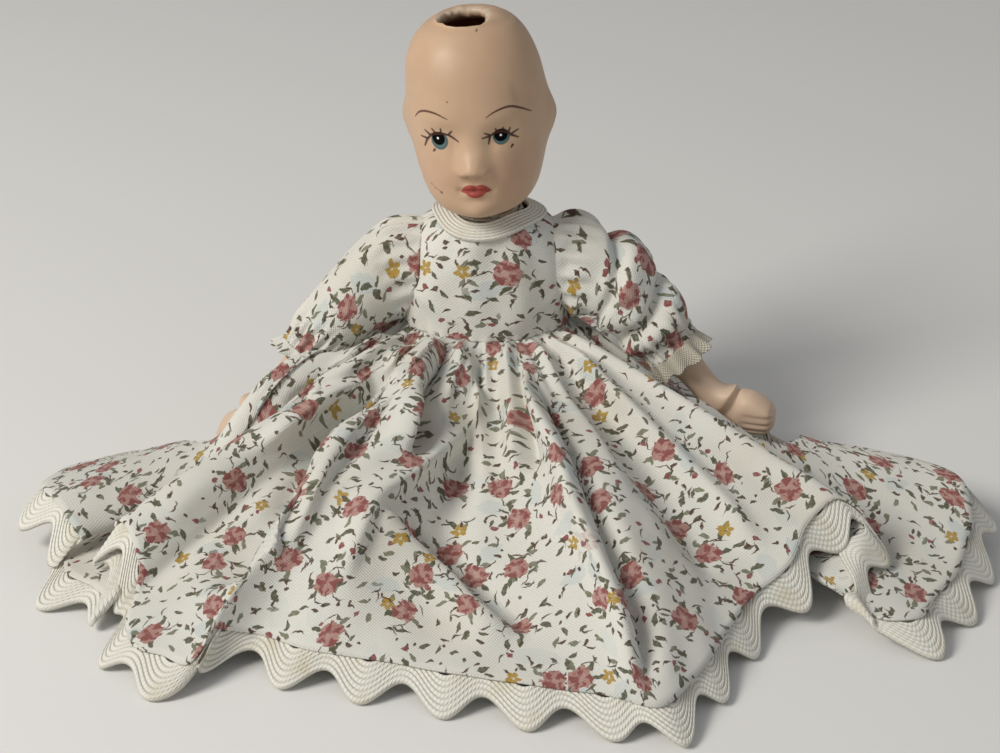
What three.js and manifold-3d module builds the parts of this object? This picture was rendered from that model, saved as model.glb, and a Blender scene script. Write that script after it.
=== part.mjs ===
// Small bisque doll with an open crown, seated in a print dress trimmed with rick-rack braid.
// Bisque head, forearms and lower legs are tied into a stuffed muslin body. The dress closes at the back with snaps.
// Millimetres, +Z up. The doll faces -Y, its own left side is +X, and the origin is the middle of its seat.
import * as THREE from "three";
import { mergeVertices } from "three/addons/utils/BufferGeometryUtils.js";
import Module from "manifold-3d";

const wasm = await Module();
wasm.setup();

const DEG = Math.PI / 180;
const TURN = 2 * Math.PI;

// Cloth and clearances
const CLOTH = 0.6; // thickness of the dress print and of the body muslin
const GAP = 0.35; // clearance between pieces that lie against each other
const NECK_PLAY = 0.65; // clearance of the tilted neck in its casing
const TIE_RADIUS = 0.3; // thread wound round a neck or limb

// Torso, as half widths and half depths at named heights
const SEAT = { height: 0, width: 11.5, depth: 9 };
const BUTTOCK = { height: 2.5, width: 14, depth: 10.6 };
const HIP = { height: 9, width: 15.2, depth: 11 };
const BELLY = { height: 18, width: 15.2, depth: 11 };
const WAIST = { height: 27, width: 14.8, depth: 10.4 };
const CHEST = { height: 37, width: 15, depth: 10.2 };
const SHOULDER = { height: 43.5, width: 13.4, depth: 9.4 };
const NECK_SLOPE = { height: 46.6, width: 11, depth: 8.6 };
const NECK_FOOT = { height: 48.2, width: 7.6, depth: 7.2 };
const NECK_CASING = { height: NECK_FOOT.height + 0.9, top: NECK_FOOT.height + 2.2 };

// Head, measured from the underside of its neck flange
const HEAD_SEAT = NECK_FOOT.height - 2.6; // height of the flange above the seat
const HEAD_YAW = -6.5 * DEG; // the face looks a little to the doll's right
const HEAD_ROLL = -4 * DEG; // the crown leans to the doll's right
const NECK_RADIUS = 4.7;
const FLANGE_RADIUS = 6;
const FLANGE_THICKNESS = 1.2;
const BISQUE_WALL = 1.5;
const CHIN_HEIGHT = 6.2;
const CROWN_HEIGHT = 42.6;
const HEAD_WIDTH = 13; // half width at the temples
const FACE_DEPTH = 13.2; // from the neck axis to the forehead
const HEAD_BACK = 16.4; // from the neck axis to the back of the skull
const CROWN_HOLE = { width: 4.5, front: 3.2, back: 4.9 };
const NOSE = { height: 17.6, reach: 2.6, width: 1.7 };
const EYE = { height: 22.8, spacing: 5.6, sink: 1.1 };
const MOUTH_HEIGHT = 12.6;
const EAR = { height: 23, reach: 1.7, length: 3.8 };

// Arms, measured along the arm from the shoulder seam
const SHOULDER_SEAM = { side: 17.4, height: 43.6 };
const SHOULDER_BALL = 3.4;
const UPPER_ARM_LENGTH = 24.4;
const UPPER_ARM_RADIUS = 4.2;
const FOREARM_LENGTH = 31;
const FOREARM_RADIUS = 3.6;
const WRIST_RADIUS = 2.7;
const HAND = { length: 13, width: 4.3, thickness: 3.1, bend: 0.5 };
const LIMB_TUCK = 4; // length of a bisque limb inside its cloth sleeve
const LIMB_GROOVE = 0.6; // depth of the tying groove
const ARM_LEFT = { side: 1, drop: 48 * DEG, forward: 14 * DEG, bulge: 10.5 };
const ARM_RIGHT = { side: -1, drop: 51 * DEG, forward: 15 * DEG, bulge: 7 };

// Legs, measured along the leg from the hip seam
const HIP_SEAM = { side: 8.5, height: 6.4 };
const HIP_BALL = 5.2;
const LEG_SPLAY = 22 * DEG;
const LEG_PITCH = 1.6 * DEG;
const UPPER_LEG_LENGTH = 26;
const UPPER_LEG_RADIUS = 5.6;
const LOWER_LEG_LENGTH = 36;
const CALF_RADIUS = 4.2;
const ANKLE_RADIUS = 2.9;
const FOOT = { length: 13, width: 3.4, thickness: 3 };

// Dress
const SLEEVE = { end: 28.4, cuff: 26.4, cuffRadius: 5.3, puff: 8.2 };
const SLEEVE_HEAD = { side: SHOULDER_SEAM.side - 0.8, height: SHOULDER_SEAM.height - 3.2, tall: 7.6, deep: 6.4 };
const FRILL = { width: 3.4, waves: 9, depth: 0.7 };
const ELASTIC = { width: 1.6, thickness: 0.5 };
const GATHER = { folds: 22, height: 1.2 };
const OVERLAP = 14 * DEG; // half angle of the back opening's overlap
const SNAP = { radius: 2, thickness: 0.6, heights: [30.5, 42] };
const SNAP_ROOM = 2.3; // room between the lapped backs for a closed snap
const ARMHOLE_RADIUS = 6;

// Rick-rack braid
const BRAID = { pitch: 13, swing: 2.5, width: 7.6, thickness: 0.9, hang: 1.3, tuck: 3 }; // past and behind the hem
const BRAID_FOOT = 0.8; // height of the braid's lowest edge above the floor
const BRAID_SLANT = 40 * DEG; // steepest that the braid hangs
const COLLAR = { radius: 9.5, waves: 4, swing: 1.2, width: 3.2, thickness: 0.8, hang: 0, tuck: 4, slope: 26 * DEG };

// Hem of the skirt, from the back round by the doll's right hand:
// azimuth from the front in degrees, reach from the seat's middle in hundredths of the radius, lift,
// then how steeply the cloth above falls, how far it crests and how far it sways aside.
const FLOOR_LIFT = 5.2; // where the braid alone meets the floor
const SKIRT_RADIUS = 100; // from the seat's middle to the farthest of the front hem
const HEM = [
  [-180, 52, FLOOR_LIFT, 2.2, 0, 0],
  [-150, 50, FLOOR_LIFT, 2.2, 0, 0],
  [-122, 46, FLOOR_LIFT, 2.2, 0, 0],
  [-98, 50, FLOOR_LIFT, 2.4, 0, 0],
  [-84, 58, 5.6, 2.8, 0, 0],
  [-76, 71, 7.8, 3.2, -1, 0],
  [-72, 83, 10.6, 3.2, -1, 0],
  [-68, 91, 9.2, 3, 0, 0],
  [-63, 92, 7, 3, 0, 0],
  [-57.5, 91, 5.6, 2.6, 0, 0],
  [-52.5, 89, FLOOR_LIFT, 2.4, 0, 0],
  [-50, 83, 6.2, 2.1, 0, 3],
  [-49.5, 79, 9.6, 1.5, 2, 6],
  [-48, 81, 12.6, 1.1, 4, 8],
  [-44.5, 88, 11, 1.1, 4, 7],
  [-40.5, 94, 7.6, 1.2, 4, 4],
  [-36, 98, 5.3, 1.3, 4, 1],
  [-30, 97, FLOOR_LIFT, 1.3, 6, 0],
  [-26, 92, FLOOR_LIFT, 1.2, 7, 0],
  [-20.5, 85, FLOOR_LIFT, 1.15, 7, 0],
  [-12, 85, FLOOR_LIFT, 1.4, 3, 0],
  [-3, 87, FLOOR_LIFT, 1.6, 1, 0],
  [4.5, 90, FLOOR_LIFT, 1.5, 2, 0],
  [11.5, 94.5, FLOOR_LIFT, 1.3, 5, 0],
  [16, 99.5, FLOOR_LIFT, 1.2, 6.5, 0],
  [22, 93, FLOOR_LIFT, 1.2, 6.5, 0],
  [29, 84.5, 5.4, 1.3, 5, 0],
  [34.5, 80.5, 6.6, 1.3, 3, 0],
  [40.5, 80.5, 9.6, 1.2, 2, 0],
  [46, 78, 13.4, 1.2, 2, 0],
  [50.5, 80, 16.5, 1.2, 2, 0],
  [52.5, 84, 12.6, 1.5, 1, 0],
  [48.5, 87, 8, 1.9, 0, 0],
  [44, 91, 5.6, 2.2, 0, 0],
  [43, 97, FLOOR_LIFT, 2.3, 0, 0],
  [46, 102, FLOOR_LIFT, 2.4, 0, 0],
  [50, 100.5, 5.3, 2.6, 0, 0],
  [54.5, 100.5, 5.6, 2.8, 0, 0],
  [59, 99, 6.4, 3, 0, 0],
  [64, 97.5, 8, 3, 0, 0],
  [68.5, 93.5, 10.4, 3.2, -1, 0],
  [72, 84, 11, 3.2, -1, 0],
  [76.5, 71, 7.8, 3.2, -1, 0],
  [84.5, 58, 5.6, 2.8, 0, 0],
  [98, 50, FLOOR_LIFT, 2.4, 0, 0],
  [122, 46, FLOOR_LIFT, 2.2, 0, 0],
  [150, 50, FLOOR_LIFT, 2.2, 0, 0],
];

// Mesh counts
const AROUND_TORSO = 22;
const AROUND_HEAD = 36;
const AROUND_LIMB = 14;
const AROUND_SLEEVE = 24;
const AROUND_SKIRT = 88;
const SKIRT_ROWS = 6;
const EVENED = 2; // columns of the hem to each side over which the braid's ways are evened
const BRAID_STEPS = 5; // steps along one wave of the braid
const FRILL_STEPS = 5; // steps along one wave of the frill

const materials = {
  bisque: new THREE.MeshStandardMaterial({ color: 0xc9a084, roughness: 0.55, metalness: 0 }),
  print: new THREE.MeshStandardMaterial({ color: 0xe4e0d6, roughness: 0.9, metalness: 0 }),
  braid: new THREE.MeshStandardMaterial({ color: 0xe9e5d8, roughness: 0.7, metalness: 0 }),
  muslin: new THREE.MeshStandardMaterial({ color: 0xd9cdb8, roughness: 0.95, metalness: 0 }),
  stuffing: new THREE.MeshStandardMaterial({ color: 0xf2f0ea, roughness: 1, metalness: 0 }),
  thread: new THREE.MeshStandardMaterial({ color: 0xd8d0c0, roughness: 0.8, metalness: 0 }),
  snap: new THREE.MeshStandardMaterial({ color: 0xb9b9bd, roughness: 0.35, metalness: 0.9 }),
};

const clamp = THREE.MathUtils.clamp;
const lerp = THREE.MathUtils.lerp;
const bell = (x, width) => Math.exp(-((x / width) ** 2));
const vector = (x, y, z) => new THREE.Vector3(x, y, z);

// Mesh building

function geometryOf(points, faces) {
  const geometry = new THREE.BufferGeometry().setFromPoints(points);
  geometry.setIndex(faces);
  return geometry;
}

// Skin through rings of equally many points. Open lofts get flat caps, looped ones join the last ring to the first.
function loft(rings, looped = false) {
  const count = rings[0].length;
  const points = rings.flat();
  const faces = [];
  const last = looped ? rings.length : rings.length - 1;
  for (let i = 0; i < last; i++) {
    const row = i * count;
    const next = ((i + 1) % rings.length) * count;
    for (let j = 0; j < count; j++) {
      const k = (j + 1) % count;
      faces.push(row + j, row + k, next + k, row + j, next + k, next + j);
    }
  }
  if (!looped) {
    capRing(points, faces, rings[0], 0, true);
    capRing(points, faces, rings.at(-1), (rings.length - 1) * count, false);
  }
  return geometryOf(points, faces);
}

function capRing(points, faces, ring, first, facesBack) {
  const centre = ring.reduce((sum, p) => sum.add(p), vector(0, 0, 0)).divideScalar(ring.length);
  points.push(centre);
  ring.forEach((_, j) => {
    const k = (j + 1) % ring.length;
    const pair = facesBack ? [first + k, first + j] : [first + j, first + k];
    faces.push(points.length - 1, ...pair);
  });
}

// Sheet between two grids of rows: the outer side, the inner side and the four edges.
function panel(outer, inner) {
  const columns = outer[0].length;
  const points = [...outer.flat(), ...inner.flat()];
  const behind = outer.length * columns;
  const at = (i, j, side) => side * behind + i * columns + j;
  const faces = [];
  const quad = (a, b, c, d) => faces.push(a, b, c, a, c, d);
  for (let i = 0; i + 1 < outer.length; i++) {
    for (let j = 0; j + 1 < columns; j++) {
      quad(at(i, j, 0), at(i, j + 1, 0), at(i + 1, j + 1, 0), at(i + 1, j, 0));
      quad(at(i, j, 1), at(i + 1, j, 1), at(i + 1, j + 1, 1), at(i, j + 1, 1));
    }
    quad(at(i, 0, 0), at(i + 1, 0, 0), at(i + 1, 0, 1), at(i, 0, 1));
    quad(at(i + 1, columns - 1, 0), at(i, columns - 1, 0), at(i, columns - 1, 1), at(i + 1, columns - 1, 1));
  }
  const top = outer.length - 1;
  for (let j = 0; j + 1 < columns; j++) {
    quad(at(0, j + 1, 0), at(0, j, 0), at(0, j, 1), at(0, j + 1, 1));
    quad(at(top, j, 0), at(top, j + 1, 0), at(top, j + 1, 1), at(top, j, 1));
  }
  return geometryOf(points, faces);
}

function solidOf(geometry) {
  const bare = geometry.clone();
  bare.deleteAttribute("normal");
  bare.deleteAttribute("uv");
  const merged = mergeVertices(bare, 1e-3);
  return new wasm.Manifold(
    new wasm.Mesh({
      numProp: 3,
      vertProperties: merged.attributes.position.array,
      triVerts: new Uint32Array(merged.index.array),
    }),
  );
}

function largestBody(solid) {
  return solid.decompose().reduce((most, body) => (body.volume() > most.volume() ? body : most));
}

function geometryFrom(solid) {
  const mesh = solid.getMesh();
  const geometry = new THREE.BufferGeometry();
  geometry.setAttribute("position", new THREE.BufferAttribute(mesh.vertProperties, mesh.numProp));
  return geometry.setIndex(new THREE.BufferAttribute(mesh.triVerts, 1));
}

function ellipse(width, depth, height, count) {
  return Array.from({ length: count }, (_, j) => {
    const angle = (j / count) * TURN;
    return vector(width * Math.cos(angle), depth * Math.sin(angle), height);
  });
}

function circle(radius, height, count = AROUND_LIMB) {
  return ellipse(radius, radius, height, count);
}

// Ring of round section about the local Z axis, as a closed lathe profile.
function roundRing(radius, tube, height) {
  const sides = 6;
  const profile = Array.from({ length: sides + 1 }, (_, k) => {
    const angle = ((k % sides) / sides) * TURN;
    return new THREE.Vector2(radius + tube * Math.cos(angle), height + tube * Math.sin(angle));
  });
  return new THREE.LatheGeometry(profile, 16).rotateX(Math.PI / 2);
}

// Band about the local Z axis with a rectangular section.
function flatRing(radius, thickness, bottom, top) {
  const profile = [
    new THREE.Vector2(radius, bottom),
    new THREE.Vector2(radius + thickness, bottom),
    new THREE.Vector2(radius + thickness, top),
    new THREE.Vector2(radius, top),
    new THREE.Vector2(radius, bottom),
  ];
  return new THREE.LatheGeometry(profile, 16).rotateX(Math.PI / 2);
}

function named(name, geometry, material) {
  const mesh = new THREE.Mesh(geometry, material);
  mesh.name = name;
  return mesh;
}

// Torso: a stuffed muslin bag whose neck is gathered round the flange of the head

const casingRadius = NECK_RADIUS + NECK_PLAY + CLOTH;
const torsoStations = [
  ...[SEAT, BUTTOCK, HIP, BELLY, WAIST, CHEST, SHOULDER, NECK_SLOPE, NECK_FOOT],
  { height: NECK_CASING.height, width: casingRadius, depth: casingRadius },
  { height: NECK_CASING.top, width: casingRadius, depth: casingRadius },
];
const WAIST_STATION = torsoStations.indexOf(WAIST);
const NECK_STATION = torsoStations.indexOf(NECK_FOOT);

// Half width, half depth and height along the torso's side, from the seat (0) to the top of the neck (1).
const torsoSide = new THREE.CatmullRomCurve3(
  torsoStations.map(({ width, depth, height }) => vector(width, depth, height)),
  false,
  "catmullrom",
  0.35,
);
const stationShare = (station) => station / (torsoStations.length - 1);

// Torso section at a share of the side, moved out by an offset square to the side.
function torsoSection(share, offset) {
  const at = torsoSide.getPoint(share);
  const slope = torsoSide.getTangent(share);
  const outward = vector(slope.z, slope.z, -(slope.x + slope.y) / 2);
  outward.divideScalar(Math.hypot(slope.z, outward.z));
  return at.addScaledVector(outward, offset);
}

function torsoRing(share, offset, count = AROUND_TORSO) {
  const { x: width, y: depth, z: height } = torsoSection(share, offset);
  return ellipse(width, depth, height, count);
}

function shares(from, to, steps) {
  return Array.from({ length: steps + 1 }, (_, i) => lerp(from, to, i / steps));
}

function torsoCover() {
  const outer = shares(0, 1, 15).map((share) => torsoRing(share, 0));
  const inner = shares(1, stationShare(1), 12).map((share) => torsoRing(share, -CLOTH));
  const floor = ellipse(SEAT.width - CLOTH, SEAT.depth - CLOTH, SEAT.height + CLOTH, AROUND_TORSO);
  return loft([...outer, ...inner, floor]);
}

function torsoStuffing() {
  const inset = CLOTH + GAP;
  const top = HEAD_SEAT - GAP;
  const sides = shares(stationShare(1), 1, 40)
    .map((share) => torsoSection(share, -inset))
    .filter(({ z }) => z < top);
  const rings = sides.filter((_, i) => i % 2 === 0).map(({ x, y, z }) => ellipse(x, y, z, AROUND_TORSO));
  const floor = ellipse(SEAT.width - inset, SEAT.depth - inset, SEAT.height + inset, AROUND_TORSO);
  return loft([floor, ...rings]);
}

function torso() {
  const group = new THREE.Group();
  const tieHeight = (NECK_CASING.height + NECK_CASING.top) / 2;
  const tie = roundRing(casingRadius + GAP + TIE_RADIUS, TIE_RADIUS, tieHeight);
  group.add(named("torso_cover", torsoCover(), materials.muslin));
  group.add(named("torso_stuffing", torsoStuffing(), materials.stuffing));
  group.add(named("neck_tie", tie, materials.thread));
  return group;
}

// Head: a hollow bisque shell, open at the crown and at the foot of the neck

// Outline between chin (0) and crown (1): shares of the half width, of the face's depth and of the skull's back.
const HEAD_OUTLINE = [
  [0, 0.55, 0.66, 0.42],
  [0.03, 0.67, 0.88, 0.46],
  [0.09, 0.79, 0.98, 0.56],
  [0.2, 0.89, 1.0, 0.75],
  [0.34, 0.96, 1.0, 0.92],
  [0.48, 1.0, 1.0, 1.0],
  [0.62, 0.985, 1.0, 0.99],
  [0.76, 0.93, 0.91, 0.9],
  [0.87, 0.81, 0.74, 0.76],
  [0.945, 0.64, 0.54, 0.6],
];

const headSide = new THREE.CatmullRomCurve3(
  HEAD_OUTLINE.map(([, width, front, back]) => vector(width * HEAD_WIDTH, front * FACE_DEPTH, back * HEAD_BACK)),
);
const headHeights = new THREE.CatmullRomCurve3(
  HEAD_OUTLINE.map(([share]) => vector(lerp(CHIN_HEIGHT, CROWN_HEIGHT, share), 0, 0)),
);

// Modelling of the face in front of the plain outline: nose, sockets, cheeks, lips and chin.
function faceRelief(x, z) {
  const side = Math.abs(x);
  const nose = NOSE.reach * bell(x, NOSE.width) * bell(z - NOSE.height, 2.3);
  const bridge = 0.9 * bell(x, 1.5) * bell(z - (NOSE.height + EYE.height) / 2, 3);
  const socket = EYE.sink * bell(side - EYE.spacing, 2.8) * bell(z - EYE.height, 2.2);
  const cheek = 0.7 * bell(side - EYE.spacing, 3.4) * bell(z - (MOUTH_HEIGHT + 2.4), 3.4);
  const lips = 0.8 * bell(x, 2.3) * bell(z - MOUTH_HEIGHT, 1.2);
  const chin = 0.9 * bell(x, 2.8) * bell(z - (CHIN_HEIGHT + 1.4), 1.8);
  return nose + bridge - socket + cheek + lips + chin;
}

// Angles round the head, packed closer together at the face, which looks along -Y.
function headAngle(j) {
  const turn = (j / AROUND_HEAD) * TURN;
  return -Math.PI / 2 + turn - 0.55 * Math.sin(turn);
}

function headRing(share, inset) {
  const { x: width, y: front, z: back } = headSide.getPoint(share);
  const { x: height } = headHeights.getPoint(share);
  return Array.from({ length: AROUND_HEAD }, (_, j) => {
    const angle = headAngle(j);
    const depth = Math.sin(angle) < 0 ? front : back;
    const x = (width - inset) * Math.cos(angle);
    const y = (depth - inset) * Math.sin(angle);
    if (inset > 0) return vector(x, y, height);
    const facing = clamp(-Math.sin(angle), 0, 1) ** 2;
    const ear = EAR.reach * bell(y - 1, 2.3) * bell(height - EAR.height, EAR.length);
    return vector(x + Math.sign(x) * ear, y - facing * faceRelief(x, height), height);
  });
}

function neckRing(radius, height) {
  return Array.from({ length: AROUND_HEAD }, (_, j) => {
    const angle = headAngle(j);
    return vector(radius * Math.cos(angle), radius * Math.sin(angle), height);
  });
}

function crownRing(margin, height) {
  return Array.from({ length: AROUND_HEAD }, (_, j) => {
    const angle = headAngle(j);
    const depth = Math.sin(angle) < 0 ? CROWN_HOLE.front : CROWN_HOLE.back;
    return vector((CROWN_HOLE.width + margin) * Math.cos(angle), (depth + margin) * Math.sin(angle), height);
  });
}

function headShell() {
  const bore = NECK_RADIUS - BISQUE_WALL;
  const neck = [
    neckRing(FLANGE_RADIUS, 0),
    neckRing(FLANGE_RADIUS, FLANGE_THICKNESS),
    neckRing(NECK_RADIUS, FLANGE_THICKNESS + 0.4),
    neckRing(NECK_RADIUS, CHIN_HEIGHT - 0.8),
  ];
  const outer = shares(0, 1, 20).map((share) => headRing(share, 0));
  const rim = [crownRing(0.7, CROWN_HEIGHT), crownRing(0, CROWN_HEIGHT - 0.5), crownRing(0.2, CROWN_HEIGHT - 1.8)];
  const inner = shares(0.93, 0.2, 7).map((share) => headRing(share, BISQUE_WALL));
  const bottom = [neckRing(bore, CHIN_HEIGHT + 1), neckRing(bore, 0)];
  return loft([...neck, ...outer, ...rim, ...inner, ...bottom], true);
}

function head() {
  const group = new THREE.Group();
  group.position.set(0, 0, HEAD_SEAT);
  group.rotation.set(0, HEAD_ROLL, HEAD_YAW, "ZYX");
  group.add(named("head", headShell(), materials.bisque));
  return group;
}

// Limbs, along their own +Z from the seam

// Cloth tube sewn shut round a ball end and gathered over the bead and groove of a bisque limb.
function limbCoverSide(ball, radius, length, limbRadius) {
  const bead = limbRadius - LIMB_GROOVE / 2;
  const tuck = length - LIMB_TUCK;
  const fit = GAP + CLOTH;
  return [
    ...[-0.98, -0.85, -0.55, -0.15].map((share) => [ball * share, ball * Math.sqrt(1 - share ** 2)]),
    [ball * 0.7, lerp(ball, radius, 0.4)],
    [length * 0.38, radius],
    [tuck - 2.5, radius],
    [tuck + 0.4, bead + fit],
    [tuck + LIMB_TUCK / 2, bead - LIMB_GROOVE + fit],
    [length, bead + fit],
  ];
}

function limbCover(side) {
  const outer = side.map(([along, radius]) => circle(radius, along));
  const inner = side
    .slice(1)
    .reverse()
    .map(([along, radius]) => circle(radius - CLOTH, along));
  return loft([...outer, ...inner]);
}

function limbStuffing(side, end) {
  const inset = CLOTH + GAP;
  const rings = side.slice(1).filter(([along]) => along < end);
  return loft(rings.map(([along, radius]) => circle(radius - inset, along)));
}

// Hollow top of a bisque limb: bead, groove and bore, from the bore's floor up and down again to the limb.
function limbSocket(top, limbRadius) {
  const bead = limbRadius - LIMB_GROOVE / 2;
  const bore = bead - BISQUE_WALL;
  return [
    circle(bore, top + LIMB_TUCK + 1),
    circle(bore, top),
    circle(bead, top),
    circle(bead, top + LIMB_TUCK * 0.25),
    circle(bead - LIMB_GROOVE, top + LIMB_TUCK / 2),
    circle(bead, top + LIMB_TUCK * 0.8),
  ].reverse();
}

function ovalRing(width, thickness, centre, along) {
  return Array.from({ length: AROUND_LIMB }, (_, j) => {
    const angle = (j / AROUND_LIMB) * TURN;
    return vector(width * Math.cos(angle), centre + thickness * Math.sin(angle), along);
  });
}

// Forearm with a lightly closed hand, its back towards +Y and its thumb towards +X.
function forearmSolid() {
  const top = UPPER_ARM_LENGTH - LIMB_TUCK;
  const tip = top + FOREARM_LENGTH;
  const wrist = tip - HAND.length;
  const bend = (along) => HAND.bend * Math.max(0, along - wrist);
  const hand = [
    [0.25, 0.78, 0.95],
    [0.5, 1, 1],
    [0.75, 0.95, 0.95],
    [0.92, 0.78, 0.7],
    [1, 0.45, 0.35],
  ].map(([share, width, thickness]) => {
    const along = wrist + share * HAND.length;
    return ovalRing(width * HAND.width, thickness * HAND.thickness, bend(along), along);
  });
  const rings = [
    ...hand.reverse(),
    circle(WRIST_RADIUS, wrist),
    circle(lerp(WRIST_RADIUS, FOREARM_RADIUS, 0.7), lerp(wrist, top, 0.45)),
    circle(FOREARM_RADIUS, top + LIMB_TUCK * 1.8),
    circle(FOREARM_RADIUS - LIMB_GROOVE / 2, top + LIMB_TUCK),
    ...limbSocket(top, FOREARM_RADIUS),
  ];
  const palm = solidOf(loft(rings.reverse()));
  const thumb = new THREE.SphereGeometry(1, 10, 8);
  thumb.scale(1.3, 1.4, HAND.length * 0.3);
  thumb.rotateX(-Math.atan(HAND.bend));
  thumb.translate(HAND.width * 0.62, bend(wrist + HAND.length * 0.42) + HAND.thickness * 0.8, wrist + HAND.length * 0.42);
  return geometryFrom(palm.add(solidOf(thumb)));
}

// Lower leg with a plain pointed foot, its toes towards +Y.
function lowerLegSolid() {
  const top = UPPER_LEG_LENGTH - LIMB_TUCK;
  const tip = top + LOWER_LEG_LENGTH;
  const ankle = tip - FOOT.length;
  const foot = [
    [1, 0.4, 0.4, 0.4],
    [0.93, 0.75, 0.7, 0.3],
    [0.7, 1, 0.85, 0.2],
    [0.35, 0.9, 0.95, 0],
  ].map(([share, width, thickness, rise]) =>
    ovalRing(width * FOOT.width, thickness * FOOT.thickness, rise, ankle + share * FOOT.length),
  );
  const rings = [
    ...foot,
    circle(ANKLE_RADIUS, ankle),
    circle(lerp(ANKLE_RADIUS, CALF_RADIUS, 0.75), lerp(ankle, top, 0.35)),
    circle(CALF_RADIUS, lerp(ankle, top, 0.6)),
    circle(CALF_RADIUS - LIMB_GROOVE / 2, top + LIMB_TUCK),
    ...limbSocket(top, CALF_RADIUS),
  ];
  return loft(rings.reverse());
}

function limbTie(limbRadius, length) {
  const groove = limbRadius - LIMB_GROOVE * 1.5 + GAP + CLOTH;
  return roundRing(groove + GAP + TIE_RADIUS, TIE_RADIUS, length - LIMB_TUCK / 2);
}

// Group whose +Z runs along a limb, with +Y as near to the given upward way as it can be.
function limbGroup(seam, along, upward) {
  const across = upward.clone().cross(along).normalize();
  const group = new THREE.Group();
  group.quaternion.setFromRotationMatrix(
    new THREE.Matrix4().makeBasis(across, along.clone().cross(across), along),
  );
  group.position.copy(seam);
  return group;
}

function armDirection({ side, drop, forward }) {
  const level = Math.cos(forward);
  return vector(side * Math.cos(drop) * level, -Math.sin(forward), -Math.sin(drop) * level);
}

function shoulderSeam({ side }) {
  return vector(side * SHOULDER_SEAM.side, 0, SHOULDER_SEAM.height);
}

function arm(pose, name) {
  const group = limbGroup(shoulderSeam(pose), armDirection(pose), vector(pose.side * 0.6, -0.2, 1));
  const side = limbCoverSide(SHOULDER_BALL, UPPER_ARM_RADIUS, UPPER_ARM_LENGTH, FOREARM_RADIUS);
  const stuffing = limbStuffing(side, UPPER_ARM_LENGTH - LIMB_TUCK);
  group.add(named(`upper_arm_cover_${name}`, limbCover(side), materials.muslin));
  group.add(named(`upper_arm_stuffing_${name}`, stuffing, materials.stuffing));
  group.add(named(`forearm_${name}`, forearmSolid(), materials.bisque));
  group.add(named(`forearm_tie_${name}`, limbTie(FOREARM_RADIUS, UPPER_ARM_LENGTH), materials.thread));
  group.add(named(`sleeve_${name}`, sleeveSolid(pose, group), materials.print));
  group.add(named(`sleeve_frill_${name}`, frillSolid(), materials.braid));
  group.add(named(`sleeve_elastic_${name}`, elasticSolid(), materials.thread));
  return group;
}

function legDirection(side) {
  const level = Math.cos(LEG_PITCH);
  return vector(side * Math.sin(LEG_SPLAY) * level, -Math.cos(LEG_SPLAY) * level, -Math.sin(LEG_PITCH));
}

// Middle of the ball at the hip, which seats on the front of the torso.
function hipSeam(side) {
  const { x: width, y: depth } = torsoSection(heightShare(HIP_SEAM.height), 0);
  const reach = HIP_BALL + GAP;
  const front = (depth + reach) * Math.sqrt(1 - (HIP_SEAM.side / (width + reach)) ** 2);
  return vector(side * HIP_SEAM.side, -front, HIP_SEAM.height);
}

function leg(sign, name) {
  const group = limbGroup(hipSeam(sign), legDirection(sign), vector(0, 0, 1));
  const side = limbCoverSide(HIP_BALL, UPPER_LEG_RADIUS, UPPER_LEG_LENGTH, CALF_RADIUS);
  const stuffing = limbStuffing(side, UPPER_LEG_LENGTH - LIMB_TUCK);
  group.add(named(`upper_leg_cover_${name}`, limbCover(side), materials.muslin));
  group.add(named(`upper_leg_stuffing_${name}`, stuffing, materials.stuffing));
  group.add(named(`lower_leg_${name}`, lowerLegSolid(), materials.bisque));
  group.add(named(`leg_tie_${name}`, limbTie(CALF_RADIUS, UPPER_LEG_LENGTH), materials.thread));
  return group;
}

// Puff sleeve: gathered at the seam beside the armhole and at the elastic round the forearm

// Rows of the sleeve: share of the way from seam to cuff, half height and half depth, and depth of the gathers.
const SLEEVE_ROWS = [
  [0, SLEEVE_HEAD.tall, SLEEVE_HEAD.deep, 0],
  [0.12, lerp(SLEEVE_HEAD.tall, SLEEVE.puff, 0.5), lerp(SLEEVE_HEAD.deep, SLEEVE.puff, 0.6), 0.3],
  [0.3, SLEEVE.puff, SLEEVE.puff, 0.3],
  [0.5, SLEEVE.puff, SLEEVE.puff, 0.25],
  [0.7, lerp(SLEEVE.cuffRadius, SLEEVE.puff, 0.85), lerp(SLEEVE.cuffRadius, SLEEVE.puff, 0.9), 0.3],
  [0.88, lerp(SLEEVE.cuffRadius, SLEEVE.puff, 0.45), lerp(SLEEVE.cuffRadius, SLEEVE.puff, 0.5), 0.3],
  [1, SLEEVE.cuffRadius, SLEEVE.cuffRadius, 0],
];

// Ring of the sleeve about a centre, square to a way, in the frame of the doll.
function sleeveRing(centre, way, tall, deep, gather) {
  const folds = 8;
  const across = vector(0, -1, 0).cross(way).normalize();
  const fore = way.clone().cross(across).negate();
  const turn = across.clone().cross(fore).dot(way) > 0 ? 1 : -1;
  return Array.from({ length: AROUND_SLEEVE }, (_, j) => {
    const angle = (turn * j * TURN) / AROUND_SLEEVE;
    const swell = gather * Math.cos(folds * angle);
    return centre
      .clone()
      .addScaledVector(across, (tall + swell) * Math.cos(angle))
      .addScaledVector(fore, (deep + swell) * Math.sin(angle));
  });
}

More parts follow.
